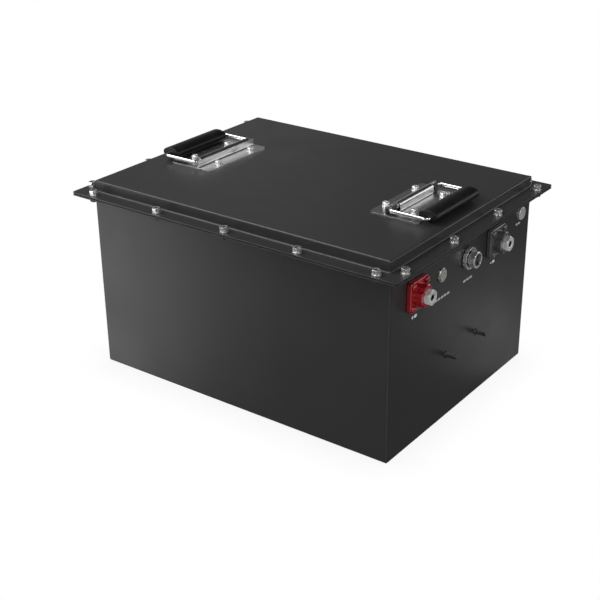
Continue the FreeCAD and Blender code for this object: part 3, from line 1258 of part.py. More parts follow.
def build_harness():
    end_x = BMS_X[1] - 2.9
    drop_x = WALL_X - 24.0
    turn_x = drop_x - 4.0
    button_lead = rod_path([V(WALL_X - BUTTON_BACK - 3.1, BUTTON_Y, BUTTON_Z), V(turn_x, BUTTON_Y, BUTTON_Z),
                            V(turn_x, BUTTON_Y, LEAD_LEVEL_Z), V(turn_x, BUTTON_LEAD_Y, LEAD_LEVEL_Z),
                            V(end_x, BUTTON_LEAD_Y, LEAD_LEVEL_Z)], LEAD_R, 3.0)
    socket_lead = rod_path([V(WALL_X - SOCKET_BACK - 0.3, SOCKET_Y, SOCKET_Z), V(drop_x, SOCKET_Y, SOCKET_Z),
                            V(drop_x, SOCKET_Y, LEAD_LEVEL_Z), V(end_x, SOCKET_Y, LEAD_LEVEL_Z)],
                           TRUNK_R, 4.0)
    export("wiring_harness", [sense_trunk(-1), sense_trunk(1), button_lead, socket_lead])


# ---------------------------------------------------------------- build everything

def main():
    os.makedirs("parts", exist_ok=True)
    export("case_body", [case_body()])
    export("lid_cover", [lid_cover()])
    export("lid_gasket", [lid_gasket()])
    build_lid_hardware()
    build_handles()
    build_terminals()
    build_socket()
    build_button()
    build_vent_and_studs()
    build_cells()
    build_links()
    build_stack_frame()
    build_tray()
    build_bms()
    build_fuse()
    build_cables()
    build_harness()


main()
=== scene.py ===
import json
import math

import bmesh
import bpy
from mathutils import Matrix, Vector


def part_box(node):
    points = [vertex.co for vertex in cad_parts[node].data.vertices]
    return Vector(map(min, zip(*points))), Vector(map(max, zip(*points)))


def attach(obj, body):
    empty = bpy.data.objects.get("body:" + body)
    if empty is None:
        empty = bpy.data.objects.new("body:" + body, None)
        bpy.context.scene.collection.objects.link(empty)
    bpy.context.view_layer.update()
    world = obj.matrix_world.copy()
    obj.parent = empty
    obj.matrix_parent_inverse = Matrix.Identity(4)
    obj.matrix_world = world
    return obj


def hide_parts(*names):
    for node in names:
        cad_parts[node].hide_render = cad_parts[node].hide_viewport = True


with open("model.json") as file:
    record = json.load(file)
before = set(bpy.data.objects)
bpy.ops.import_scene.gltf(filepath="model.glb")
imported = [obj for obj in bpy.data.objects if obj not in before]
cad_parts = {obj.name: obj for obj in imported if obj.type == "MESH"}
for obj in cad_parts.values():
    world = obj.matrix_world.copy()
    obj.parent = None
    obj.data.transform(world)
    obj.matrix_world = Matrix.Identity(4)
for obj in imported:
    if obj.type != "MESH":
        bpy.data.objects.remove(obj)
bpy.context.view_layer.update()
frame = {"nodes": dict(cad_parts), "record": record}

MM = 0.001

# ---- camera: a long lens from above the corner between the long wall and the connector wall ----
CAMERA_AZIMUTH = 35.15
CAMERA_ELEVATION = 25.09
CAMERA_DISTANCE = 1.709
CAMERA_TARGET = (0.0252, 0.0022, 0.1130)
CAMERA_LENS = 72.4
CAMERA_SHIFT = (-0.050, -0.016)

# ---- studio ----
FLOOR_HALF = 60.0
FLOOR_PALE = 1.0            # brightness of the floor and backdrop as the camera sees them
CONTACT_SHADE = 0.90        # of that, right beside the case
CONTACT_REACH = 0.06        # how far from the case the shade starts
CONTACT_FULL = 0.3          # open share of the view at which the shade is full
# the surroundings that light the object, below, at and above the horizon
AMBIENT_GROUND = 0.15
AMBIENT_HORIZON = 0.57
AMBIENT_SKY = 0.02
GROUND_EDGE = 0.10          # sine of the elevation over which the ground fades into the horizon
SKY_FROM = 0.10             # sines of the elevations where the sky starts to brighten and where it is full
SKY_FULL = 0.36
# name: (place, the point it faces, width, height, watts)
SOFTBOXES = {
    "overhead": ((-0.9, -0.5, 1.6), (0.0, 0.0, 0.2), 1.2, 1.2, 26.0),
    "left_near": ((-0.75, -0.62, 0.0), (-0.1, -0.18, 0.13), 0.3, 0.9, 1.95),
    "left_far": ((-1.3, -1.0, 0.3), (0.0, -0.1, 0.15), 0.7, 1.0, 0.57),
    "front_key": ((0.1, -1.7, 1.2), (0.1, 0.0, 0.2), 0.8, 0.8, 11.1),
    "front_right": ((0.75, -1.25, 0.30), (0.25, -0.05, 0.22), 0.5, 0.5, 1.0),
    "corner_key": ((1.15, -0.57, 1.27), (0.25, 0.0, 0.22), 0.5, 0.5, 5.0),
    "front_floor": ((0.60, -0.75, -0.25), (0.25, -0.05, 0.22), 0.5, 0.4, 0.6),
    "right_low_near": ((0.33, 0.22, -0.01), (0.27, 0.16, 0.20), 0.12, 0.16, 0.018),
    "right_low_end": ((0.36, 0.36, -0.01), (0.31, 0.29, 0.20), 0.16, 0.20, 0.020),
    "back_left": ((-1.2, 1.3, 0.84), (-0.18, 0.0, 0.28), 0.5, 0.2, 0.09),
    "right_back": ((0.95, 1.45, 0.75), (0.1, 0.0, 0.27), 0.9, 0.45, 3.1),
    "right": ((1.7, 0.2, 0.5), (0.24, 0.0, 0.15), 0.6, 0.6, 4.0),
}


# ---------------------------------------------------------------- shader builder

NOISE_LOW = 0.3             # most of a noise lies between these two
NOISE_HIGH = 0.7
PATCH_LOW = 0.35            # noise outside these two is all one tone or all the other
PATCH_HIGH = 0.65
WAVE_PHASE = 20.0           # radians of a wave texture per unit of its scaled position
BEVEL_SAMPLES = 6
EDGE_COSINE = 0.88          # between a face and its rounded normal, where an edge counts as fully worn
OCCLUSION_SAMPLES = 8
HOLLOW_SHUT = 0.60          # open share of the view round a point: full painted shade below this
HOLLOW_OPEN = 0.88          # and no painted shade above this


class Graph:
    """A node tree, put together by short calls."""

    def __init__(self, tree):
        self.tree = tree
        self.tree.nodes.clear()

    def add(self, kind, **settings):
        node = self.tree.nodes.new(kind)
        for key, value in settings.items():
            setattr(node, key, value)
        return node

    def join(self, value, socket):
        """Links value when it is a socket, or else stores it in the socket."""
        if isinstance(value, bpy.types.NodeSocket):
            self.tree.links.new(value, socket)
        else:
            socket.default_value = value

    def calc(self, operation, a, b=0.0):
        node = self.add("ShaderNodeMath", operation=operation)
        self.join(a, node.inputs[0])
        self.join(b, node.inputs[1])
        return node.outputs["Value"]

    def remap(self, value, from_low, from_high, to_low, to_high):
        node = self.add("ShaderNodeMapRange")
        for index, item in enumerate((value, from_low, from_high, to_low, to_high)):
            self.join(item, node.inputs[index])
        return node.outputs["Result"]


class Shader(Graph):
    """One node material. Sizes are metres in the pack's frame."""

    def __init__(self, name):
        self.material = bpy.data.materials.new(name)
        self.material.use_nodes = True
        super().__init__(self.material.node_tree)
        self.bsdf = self.add("ShaderNodeBsdfPrincipled")
        self.output = self.add("ShaderNodeOutputMaterial")
        self.join(self.bsdf.outputs["BSDF"], self.output.inputs["Surface"])
        self.place = self.add("ShaderNodeTexCoord").outputs["Object"]

    def set(self, **inputs):
        """Principled inputs, named with underscores for spaces."""
        for key, value in inputs.items():
            self.join(value, self.bsdf.inputs[key.replace("_", " ")])

    def stretched(self, stretch):
        mapping = self.add("ShaderNodeMapping")
        self.join(self.place, mapping.inputs["Vector"])
        mapping.inputs["Scale"].default_value = stretch
        return mapping.outputs["Vector"]

    def noise(self, size, detail=2.0, distortion=0.0, stretch=None):
        """Soft noise from 0 to 1 with features about size across."""
        node = self.add("ShaderNodeTexNoise")
        self.join(self.stretched(stretch) if stretch else self.place, node.inputs["Vector"])
        node.inputs["Scale"].default_value = 1.0 / size
        node.inputs["Detail"].default_value = detail
        node.inputs["Distortion"].default_value = distortion
        return node.outputs["Fac"]

    def cells(self, size, stretch=None):
        """Distance to the nearest of scattered points about size apart."""
        node = self.add("ShaderNodeTexVoronoi")
        self.join(self.stretched(stretch) if stretch else self.place, node.inputs["Vector"])
        node.inputs["Scale"].default_value = 1.0 / size
        return node.outputs["Distance"]

    def bands(self, size, direction, distortion=0.0):
        """Sine bands about size apart that run across the given axis."""
        node = self.add("ShaderNodeTexWave", bands_direction=direction)
        self.join(self.place, node.inputs["Vector"])
        node.inputs["Scale"].default_value = 2.0 * math.pi / (WAVE_PHASE * size)
        node.inputs["Distortion"].default_value = distortion
        return node.outputs["Fac"]

    def axis(self, letter):
        split = self.add("ShaderNodeSeparateXYZ")
        self.join(self.place, split.inputs["Vector"])
        return split.outputs[letter]

    def mix(self, factor, a, b):
        node = self.add("ShaderNodeMix", data_type="RGBA")
        self.join(factor, node.inputs["Factor"])
        self.join(a if isinstance(a, bpy.types.NodeSocket) else rgba(a), node.inputs["A"])
        self.join(b if isinstance(b, bpy.types.NodeSocket) else rgba(b), node.inputs["B"])
        return node.outputs["Result"]

    def bump(self, height, depth, below=None):
        """Normal for a height field whose full range is depth."""
        node = self.add("ShaderNodeBump")
        self.join(height, node.inputs["Height"])
        node.inputs["Distance"].default_value = depth
        if below is not None:
            self.join(below, node.inputs["Normal"])
        return node.outputs["Normal"]

    def soft_edges(self, radius):
        """Normal that is rounded over near sharp edges, and a mask of those edges."""
        bevel = self.add("ShaderNodeBevel", samples=BEVEL_SAMPLES)
        bevel.inputs["Radius"].default_value = radius
        facing = self.add("ShaderNodeNewGeometry").outputs["Normal"]
        dot = self.add("ShaderNodeVectorMath", operation="DOT_PRODUCT")
        self.join(facing, dot.inputs[0])
        self.join(bevel.outputs["Normal"], dot.inputs[1])
        mask = self.remap(dot.outputs["Value"], 1.0, EDGE_COSINE, 0.0, 1.0)
        return bevel.outputs["Normal"], mask

    def spread(self, noise, low, high):
        """Stretches a noise to run from low to high."""
        return self.remap(noise, NOISE_LOW, NOISE_HIGH, low, high)

    def patches(self, noise):
        """A noise pushed toward 0 and 1, as patches with soft borders."""
        return self.remap(noise, PATCH_LOW, PATCH_HIGH, 0.0, 1.0)

    def openness(self, distance, only_local=False):
        """1 in the open, falling to 0 in corners and hollows about distance deep."""
        node = self.add("ShaderNodeAmbientOcclusion", samples=OCCLUSION_SAMPLES, only_local=only_local)
        node.inputs["Distance"].default_value = distance
        return node.outputs["AO"]


def rgba(colour):
    if isinstance(colour, (int, float)):
        colour = (colour, colour, colour)
    return (colour[0], colour[1], colour[2], 1.0)


def scaled(colour, factor):
    return tuple(min(1.0, c * factor) for c in colour)


# ---------------------------------------------------------------- materials

def powder_coat(name, shade, roughness):
    """Textured powder coat: orange peel, faint cloudiness and slightly polished edges."""
    s = Shader(name)
    normal, edges = s.soft_edges(1.0 * MM)
    cloud = s.noise(60 * MM, detail=3.0)
    speck = s.noise(0.9 * MM, detail=2.0)
    rub = s.calc("MULTIPLY", edges, s.remap(s.noise(14 * MM, detail=4.0), 0.42, 0.7, 0.15, 1.0))
    base = s.mix(s.patches(speck), scaled((shade,) * 3, 0.86), scaled((shade,) * 3, 1.14))
    s.set(Base_Color=s.mix(s.calc("MULTIPLY", rub, 0.45), base, shade * 2.4))
    matt = s.spread(cloud, roughness - 0.03, roughness + 0.03)
    s.set(Roughness=s.calc("SUBTRACT", matt, s.calc("MULTIPLY", rub, 0.08)))
    s.set(Specular_IOR_Level=0.42)
    peel = s.bump(s.noise(2.6 * MM, detail=1.0), 0.020 * MM, normal)
    s.set(Normal=s.bump(speck, 0.006 * MM, peel))
    return s.material


def metal(name, colour, roughness, stretch=None, edge=0.25 * MM, depth=0.004 * MM, tint=None, hollow_shade_depth=0.0,
          blotch=1.0, satin=0.0):
    """Bare or plated metal. Stretch gives the brushing direction: small along it, large across.

    Given a hollow depth, bores and recesses about that deep are painted dark as shade. Blotch is how far the
    tone and roughness vary, 1 being the most. Satin is the share that scatters like a matt coating.
    """
    s = Shader(name)
    normal, edges = s.soft_edges(edge)
    grain = s.noise(0.5 * MM, detail=4.0, stretch=stretch)
    smear = s.noise(9.0 * MM, detail=3.0, distortion=0.6)
    dull = scaled(colour, 1.0 - 0.12 * blotch)
    bright = tint or scaled(colour, 1.0 + 0.08 * blotch)
    tone = s.mix(s.patches(smear), dull, bright)
    tone = s.mix(s.calc("MULTIPLY", edges, 0.35), tone, scaled(colour, 1.2))
    # painted shade: bores and recesses darken toward black, where shade falls in them
    if hollow_shade_depth:
        hollow_shade = s.remap(s.openness(hollow_shade_depth, only_local=True), HOLLOW_SHUT, HOLLOW_OPEN, 1.0, 0.0)
        tone = s.mix(hollow_shade, tone, scaled(colour, 0.02))
    s.set(Base_Color=tone)
    uneven = s.calc("ADD", s.calc("MULTIPLY", smear, 0.5), s.calc("MULTIPLY", grain, 0.5))
    s.set(Roughness=s.spread(uneven, roughness * (1.0 - 0.25 * blotch), roughness * (1.0 + 0.3 * blotch)))
    s.set(Metallic=1.0 - satin, Normal=s.bump(grain, depth, normal))
    return s.material


def moulded(name, colour, roughness, coat=0.0, edge=0.35 * MM, grain_size=0.8 * MM, depth=0.006 * MM):
    """Injection-moulded plastic: faint flow marks, fine spark texture and softened edges."""
    s = Shader(name)
    normal, edges = s.soft_edges(edge)
    flow = s.noise(12 * MM, detail=2.0, distortion=1.2)
    grain = s.noise(grain_size, detail=3.0)
    tone = s.mix(s.patches(flow), scaled(colour, 0.9), scaled(colour, 1.1))
    s.set(Base_Color=s.mix(s.calc("MULTIPLY", edges, 0.25), tone, scaled(colour, 1.6)))
    s.set(Roughness=s.spread(s.noise(5 * MM, detail=3.0), roughness * 0.85, roughness * 1.2))
    s.set(Coat_Weight=coat, Coat_Roughness=0.12, Normal=s.bump(grain, depth, normal))
    return s.material


def rubber(name, colour, roughness, depth=0.012 * MM, gloss=0.5):
    """Soft black rubber or foam skin with a fine pebble and a little bloom."""
    s = Shader(name)
    normal, edges = s.soft_edges(0.4 * MM)
    bloom = s.noise(16 * MM, detail=4.0)
    tone = s.mix(s.remap(bloom, 0.45, 0.75, 0.0, 1.0), colour, scaled(colour, 1.5))
    s.set(Base_Color=s.mix(s.calc("MULTIPLY", edges, 0.3), tone, scaled(colour, 2.0)))
    s.set(Roughness=s.spread(bloom, roughness - 0.04, roughness + 0.06))
    s.set(Specular_IOR_Level=gloss, Normal=s.bump(s.cells(0.7 * MM), depth, normal))
    return s.material


def foam(name, colour):
    """Open-cell foam, its pores painted dark as shade."""
    s = Shader(name)
    pores = s.cells(1.6 * MM)
    s.set(Base_Color=s.mix(s.remap(pores, 0.1, 0.6, 0.0, 1.0), scaled(colour, 1.5), scaled(colour, 0.5)))
    s.set(Roughness=s.remap(pores, 0.0, 0.7, 0.95, 0.75), Normal=s.bump(pores, 0.4 * MM))
    return s.material


def shrink_film(name, colour):
    """Heat-shrunk cell wrap: glossy, with soft creases that gather toward the ends."""
    s = Shader(name)
    creases = s.noise(18 * MM, detail=4.0, distortion=1.5, stretch=(1.0, 1.0, 0.35))
    s.set(Base_Color=s.mix(s.spread(creases, 0.0, 1.0), scaled(colour, 0.8), scaled(colour, 1.15)))
    s.set(Roughness=s.spread(creases, 0.14, 0.28), Coat_Weight=0.6, Coat_Roughness=0.08)
    s.set(Normal=s.bump(creases, 0.5 * MM))
    return s.material


def glass_laminate(name, colour):
    """Glass-fibre board: crossed threads under a thin resin skin."""
    s = Shader(name)
    weave = s.calc("MULTIPLY", s.bands(0.7 * MM, "X", 0.6), s.bands(0.7 * MM, "Y", 0.6))
    s.set(Base_Color=s.mix(weave, scaled(colour, 0.8), scaled(colour, 1.15)))
    s.set(Roughness=s.remap(weave, 0.0, 1.0, 0.5, 0.36), Normal=s.bump(weave, 0.03 * MM))
    return s.material


def circuit_board(name, colour, board_top):
    """Green solder mask with copper tracks below board_top, dark parts above it."""
    s = Shader(name)
    tracks = s.remap(s.bands(2.6 * MM, "Y", 5.0), 0.45, 0.55, 0.0, 1.0)
    mask = s.mix(tracks, colour, scaled(colour, 1.9))
    case = s.mix(s.noise(0.6 * MM), 0.018, 0.03)
    above = s.calc("GREATER_THAN", s.axis("Z"), board_top + 0.05 * MM)
    s.set(Base_Color=s.mix(above, mask, case), Roughness=s.remap(above, 0.0, 1.0, 0.28, 0.5))
    s.set(Normal=s.bump(tracks, 0.03 * MM))
    return s.material


def cable_jacket(name, colour):
    """Soft cable insulation over strands that show faintly through it."""
    s = Shader(name)
    strands = s.noise(1.2 * MM, detail=2.0, stretch=(0.15, 0.15, 0.15))
    fine = s.noise(0.5 * MM, detail=3.0)
    s.set(Base_Color=s.mix(s.spread(strands, 0.0, 1.0), scaled(colour, 0.85), scaled(colour, 1.15)))
    s.set(Roughness=s.spread(fine, 0.34, 0.5), Normal=s.bump(fine, 0.01 * MM))
    return s.material


def braided_sleeve(name, colour):
    """Expandable braid of crossed yarns."""
    s = Shader(name)
    braid = s.calc("MULTIPLY", s.bands(0.9 * MM, "DIAGONAL"), s.bands(0.7 * MM, "Y"))
    s.set(Base_Color=s.mix(braid, scaled(colour, 0.5), scaled(colour, 1.8)))
    s.set(Roughness=s.remap(braid, 0.0, 1.0, 0.75, 0.5), Normal=s.bump(braid, 0.12 * MM))
    return s.material


def felt(name, colour):
    """Breathable membrane: matted white fibre."""
    s = Shader(name)
    fibre = s.noise(0.25 * MM, detail=6.0, distortion=2.0)
    s.set(Base_Color=s.mix(fibre, scaled(colour, 0.8), colour))
    s.set(Roughness=s.spread(fibre, 0.8, 0.95), Normal=s.bump(fibre, 0.03 * MM))
    return s.material


def printed_ink(name, colour):
    """Pad-printed ink, thin in places so that the coat shows through."""
    s = Shader(name)
    thin = s.remap(s.noise(0.35 * MM, detail=4.0), 0.62, 0.75, 0.0, 0.55)
    s.set(Base_Color=s.mix(thin, colour, 0.08), Roughness=s.remap(thin, 0.0, 0.55, 0.42, 0.55))
    s.set(Normal=s.bump(thin, 0.01 * MM))
    return s.material


ALONG_X = (0.03, 1.0, 1.0)      # brushing directions
ALONG_Y = (1.0, 0.03, 1.0)
POLISHED = 0.001 * MM           # depth of the grain on a polished or plated surface
BOARD_T = 1.6 * MM


def slot_materials():
    """One material for every slot of the record."""
    board_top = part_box("bms_board")[0].z + BOARD_T
    return {
        "powder_coat": powder_coat("powder_coat", 0.028, 0.36),
        "weld_nut_steel": powder_coat("painted_nut", 0.034, 0.48),
        "stud_black": metal("black_oxide", (0.10, 0.10, 0.10), 0.38, edge=0.1 * MM),
        "gasket_rubber": rubber("gasket_rubber", (0.012, 0.012, 0.012), 0.62),
        "grip_rubber": rubber("grip_rubber", (0.006, 0.006, 0.006), 0.38, depth=0.003 * MM, gloss=0.22),
        "foam": foam("foam_pad", (0.05, 0.05, 0.052)),
        # painted shade darkens the hollows of this zinc plate
        "zinc_steel": metal("zinc_plate", (0.78, 0.79, 0.80), 0.27, tint=(0.86, 0.86, 0.81),
                            depth=POLISHED, hollow_shade_depth=3.0 * MM, satin=0.10),
        "screw_stainless": metal("screw_stainless", (0.90, 0.90, 0.89), 0.32, depth=POLISHED, satin=0.2),
        "plate_stainless": metal("plate_stainless", (0.66, 0.66, 0.66), 0.30, stretch=ALONG_Y,
                                 depth=0.0006 * MM, blotch=0.3),
        "bail_chrome": metal("bail_chrome", (0.78, 0.78, 0.78), 0.22, depth=POLISHED),
        "spring_steel": metal("spring_steel", (0.42, 0.42, 0.43), 0.30),
        # painted shade darkens the bores and hollows of this plating
        "terminal_plating": metal("terminal_plating", (0.90, 0.91, 0.90), 0.30, edge=0.4 * MM,
                                  depth=POLISHED, hollow_shade_depth=9.0 * MM, satin=0.45),
        # painted shade darkens the hollows of this socket nickel
        "socket_nickel": metal("socket_nickel", (0.92, 0.92, 0.91), 0.24, edge=0.4 * MM,
                               depth=POLISHED, hollow_shade_depth=5.0 * MM, satin=0.18),
        "button_steel": metal("button_steel", (0.62, 0.64, 0.60), 0.30, edge=0.3 * MM),
        "vent_steel": metal("vent_steel", (0.92, 0.92, 0.92), 0.32, satin=0.25, edge=0.3 * MM),
        "contact_brass": metal("contact_brass", (0.78, 0.58, 0.26), 0.25),
        "link_nickel": metal("link_nickel", (0.70, 0.67, 0.60), 0.24, stretch=ALONG_X),
        "post_alu": metal("post_aluminium", (0.78, 0.78, 0.79), 0.28),
        "end_plate_alu": metal("end_plate_aluminium", (0.70, 0.70, 0.71), 0.34, stretch=ALONG_Y),
        "heatsink_alu": metal("heatsink_aluminium", (0.55, 0.55, 0.57), 0.38, stretch=ALONG_X),
        "band_steel": metal("band_steel", (0.52, 0.52, 0.53), 0.30, stretch=ALONG_X),
        "lug_tin": metal("lug_tin", (0.74, 0.73, 0.70), 0.32),
        "red_plastic": moulded("red_plastic", (0.32, 0.003, 0.009), 0.20, coat=0.7),
        "black_plastic": moulded("black_plastic", (0.085, 0.085, 0.087), 0.30, coat=0.9),
        "bush_nylon": moulded("bush_nylon", (0.020, 0.020, 0.020), 0.50),
        "insert_black": moulded("insert_black", (0.045, 0.045, 0.045), 0.42),
        "fuse_body": moulded("fuse_body", (0.05, 0.05, 0.05), 0.48),
        "button_lens": moulded("button_lens", (0.40, 0.43, 0.37), 0.30, coat=0.2),
        "cell_film": shrink_film("cell_film", (0.03, 0.12, 0.35)),
        "spacer_board": glass_laminate("spacer_board", (0.45, 0.50, 0.30)),
        "tray_board": glass_laminate("tray_board", (0.42, 0.48, 0.28)),
        "circuit_board": circuit_board("circuit_board", (0.012, 0.10, 0.035), board_top),
        "cable_red": cable_jacket("cable_red", (0.42, 0.015, 0.015)),
        "cable_black": cable_jacket("cable_black", (0.022, 0.022, 0.022)),
        "harness_sleeve": braided_sleeve("harness_sleeve", (0.035, 0.035, 0.035)),
        "membrane_white": felt("membrane_felt", (0.82, 0.82, 0.80)),
    }


def dress_nodes(materials):
    """Gives every CAD node the material of its slot."""
    for part in frame["record"]["subparts"]:
        mesh = frame["nodes"][part["node"]].data
        mesh.materials.clear()
        mesh.materials.append(materials[part["material_slot"]])


# ---------------------------------------------------------------- mesh helpers

PILL_STEPS = 8              # straight pieces in each round end of a bar


def new_piece(name, mesh, material, body):
    """Turns a finished bmesh into a piece that rides on a body."""
    data = bpy.data.meshes.new(name)
    mesh.normal_update()
    mesh.to_mesh(data)
    mesh.free()
    data.materials.append(material)
    piece = bpy.data.objects.new(name, data)
    bpy.context.scene.collection.objects.link(piece)
    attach(piece, body)
    return piece


def smooth_shaded(piece, angle):
    """Smooth shading that keeps edges sharper than angle."""
    piece.data.polygons.foreach_set("use_smooth", [True] * len(piece.data.polygons))
    piece.data.set_sharp_from_angle(angle=angle)


def wall_plate(mesh, outline, x0, x1):
    """Adds a flat plate parallel to the connector wall, from x0 to x1, with an outline of (y, z) points."""
    back = [mesh.verts.new((x0, y, z)) for y, z in outline]
    front = [mesh.verts.new((x1, y, z)) for y, z in outline]
    mesh.faces.new(front)
    mesh.faces.new(back[::-1])
    count = len(outline)
    for i in range(count):
        j = (i + 1) % count
        mesh.faces.new((back[i], back[j], front[j], front[i]))


def pill(y, z, length, height):
    """Outline of a bar with round ends, centred at (y, z)."""
    radius = height / 2.0
    straight = length / 2.0 - radius
    points = []
    for side in (1, -1):
        for step in range(PILL_STEPS + 1):
            angle = -math.pi / 2.0 + math.pi * step / PILL_STEPS
            along = straight + radius * math.cos(angle)
            points.append((y + side * along, z + side * radius * math.sin(angle)))
    return points


# ---------------------------------------------------------------- printed marks

INK_T = 0.08 * MM
INK_SINK = 0.01 * MM        # how far the marks reach into the wall's coat
MARK_DROP = 32.0 * MM       # from a connector's centre down to its marks
VENT_MARK_DROP = 14.7 * MM
SIGN_STROKE = 0.32          # thickness of a sign's strokes, as a share of its size
# terminal, plus sign or not, the sign's place beside the centre and its size,
# and the bar's place, length and height
POLARITY_MARKS = (
    ("positive_terminal_housing", True, -4.4 * MM, 4.8 * MM, 2.4 * MM, 7.6 * MM, 4.2 * MM),
    ("negative_terminal_housing", False, -4.6 * MM, 4.6 * MM, 2.2 * MM, 7.2 * MM, 4.2 * MM),
)
# connector, the row's place beside and below the centre, its length and height,
# and the number of dashes and the gap between them
CONNECTOR_MARKS = (
    ("power_button_cap", 0.0, MARK_DROP, 44.0 * MM, 3.0 * MM, 6, 1.0 * MM),
    ("charge_socket_shell", 3.5 * MM, MARK_DROP, 23.5 * MM, 3.2 * MM, 3, 0.9 * MM),
    ("vent_body", -4.5 * MM, VENT_MARK_DROP, 13.0 * MM, 3.0 * MM, 2, 0.9 * MM),
)
SYMBOL_SINK = 0.05 * MM     # the button's symbol, let into its face and standing a little proud
SYMBOL_PROUD = 0.06 * MM
SYMBOL_OUTER_R = 3.6 * MM
SYMBOL_INNER_R = 2.9 * MM
SYMBOL_GAP = math.radians(38.0)     # from the top of the ring to each of its ends
SYMBOL_STEPS = 28
SYMBOL_BAR_HALF_W = 0.4 * MM
SYMBOL_BAR = (0.6 * MM, 4.4 * MM)   # lower and upper end of the bar above the centre


def dash_row(mesh, wall, y, z, length, height, count=1, gap=0.0):
    """Row of equal dashes with round ends, centred at (y, z)."""
    dash = (length - gap * (count - 1)) / count
    for i in range(count):
        centre = y - length / 2.0 + dash / 2.0 + i * (dash + gap)
        wall_plate(mesh, pill(centre, z, dash, height), wall, wall + INK_T)


def rectangle(y, z, half_width, low, high):
    """Outline of an upright bar, from low to high above (y, z)."""
    return [(y - half_width, z + low), (y + half_width, z + low),
            (y + half_width, z + high), (y - half_width, z + high)]


def sign(mesh, wall, y, z, size, upright):
    """A minus sign, or a plus sign when upright is true."""
    stroke = size * SIGN_STROKE
    x1 = wall + INK_T
    wall_plate(mesh, pill(y, z, size, stroke), wall, x1)
    if upright:
        half = size / 2.0
        arm = stroke / 2.0
        for low, high in ((-half, -arm), (arm, half)):
            wall_plate(mesh, rectangle(y, z, arm, low, high), wall, x1)


def centre_of(node):
    low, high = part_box(node)
    return (low + high) / 2.0


def printed_marks():
    """Plain signs and dashes under the connectors, with no lettering."""
    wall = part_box("terminal_seals")[0].x - INK_SINK
    white = printed_ink("white_ink", (0.90, 0.90, 0.88))
    grey = printed_ink("grey_ink", (0.58, 0.58, 0.58))

    signs = bmesh.new()
    for node, positive, sign_shift, size, bar_shift, length, height in POLARITY_MARKS:
        centre = centre_of(node)
        z = centre.z - MARK_DROP
        sign(signs, wall, centre.y + sign_shift, z, size, positive)
        dash_row(signs, wall, centre.y + bar_shift, z, length, height)
    new_piece("polarity_marks", signs, white, "root")

    rows = bmesh.new()
    for node, shift, drop, length, height, count, gap in CONNECTOR_MARKS:
        centre = centre_of(node)
        dash_row(rows, wall, centre.y + shift, centre.z - drop, length, height, count, gap)
    new_piece("connector_marks", rows, grey, "root")


def button_symbol():
    """Broken ring with a bar, let into the face of the push button."""
    centre = centre_of("power_button_cap")
    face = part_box("power_button_cap")[1].x
    x0 = face - SYMBOL_SINK
    x1 = face + SYMBOL_PROUD
    sweep = 2.0 * math.pi - 2.0 * SYMBOL_GAP
    outward = range(SYMBOL_STEPS + 1)
    outline = []
    for radius, order in ((SYMBOL_OUTER_R, outward), (SYMBOL_INNER_R, reversed(outward))):
        for i in order:
            angle = math.pi / 2.0 + SYMBOL_GAP + sweep * i / SYMBOL_STEPS
            outline.append((centre.y + radius * math.cos(angle), centre.z + radius * math.sin(angle)))
    mesh = bmesh.new()
    wall_plate(mesh, outline, x0, x1)
    wall_plate(mesh, rectangle(centre.y, centre.z, SYMBOL_BAR_HALF_W, *SYMBOL_BAR), x0, x1)
    material = moulded("symbol_ink", (0.10, 0.11, 0.09), 0.35)
    new_piece("power_symbol", mesh, material, "power_button")


# ---------------------------------------------------------------- threaded studs

STUD_R = 3.0 * MM
STUD_PITCH = 1.0 * MM
THREAD_DEPTH = 0.54 * STUD_PITCH
THREAD_STEEPNESS = 1.25     # of the flanks, before the flat root cuts them off
THREAD_CREST = 0.12         # share of the depth lost to the flat crest
STUD_COLLAR_T = 1.4 * MM
COLLAR_STRAIGHT = 0.7       # share of the collar's thickness below its bevel
COLLAR_BEVEL = 0.4 * MM
STUD_CHAMFER = 0.9 * MM
STUD_AROUND = 40            # points round the stud
STUD_PER_TURN = 10          # rings in each turn of the thread
WELD_DISTANCE = 1e-7        # points closer than this become one
STUD_SHARP = math.radians(50.0)


def thread_radius(travel, turn, to_tip):
    """Radius of the thread: travel from its start, turn round the stud (0 to 1), and distance to the tip."""
    phase = (travel / STUD_PITCH - turn) % 1.0
    flank = 1.0 - abs(2.0 * phase - 1.0)
    groove = THREAD_DEPTH * min(1.0, max(0.0, THREAD_STEEPNESS * flank - THREAD_CREST))
    taper = max(0.0, STUD_CHAMFER - to_tip)
    return min(STUD_R - groove, STUD_R - taper)


def threaded_stud(mesh, y, z, x0, x1, collar_r):
    """Weld stud along +X: a collar at the wall, a helical thread and a chamfered tip."""
    start = x0 + STUD_COLLAR_T
    rings = []
    for x, r in ((x0, 0.0), (x0, collar_r), (x0 + STUD_COLLAR_T * COLLAR_STRAIGHT, collar_r),
                 (start, collar_r - COLLAR_BEVEL)):
        rings.append([(x, r)] * STUD_AROUND)
    steps = int(round((x1 - start) / STUD_PITCH * STUD_PER_TURN))
    for i in range(steps + 1):
        x = start + (x1 - start) * i / steps
        rings.append([(x, thread_radius(x - start, k / STUD_AROUND, x1 - x)) for k in range(STUD_AROUND)])
    rings.append([(x1, 0.0)] * STUD_AROUND)

    rows = []
    for ring in rings:
        row = []
        for k, (x, r) in enumerate(ring):
            angle = 2.0 * math.pi * k / STUD_AROUND
            row.append(mesh.verts.new((x, y + r * math.cos(angle), z + r * math.sin(angle))))
        rows.append(row)
    for a, b in zip(rows, rows[1:]):
        for k in range(STUD_AROUND):
            j = (k + 1) % STUD_AROUND
            mesh.faces.new((a[k], a[j], b[j], b[k]))


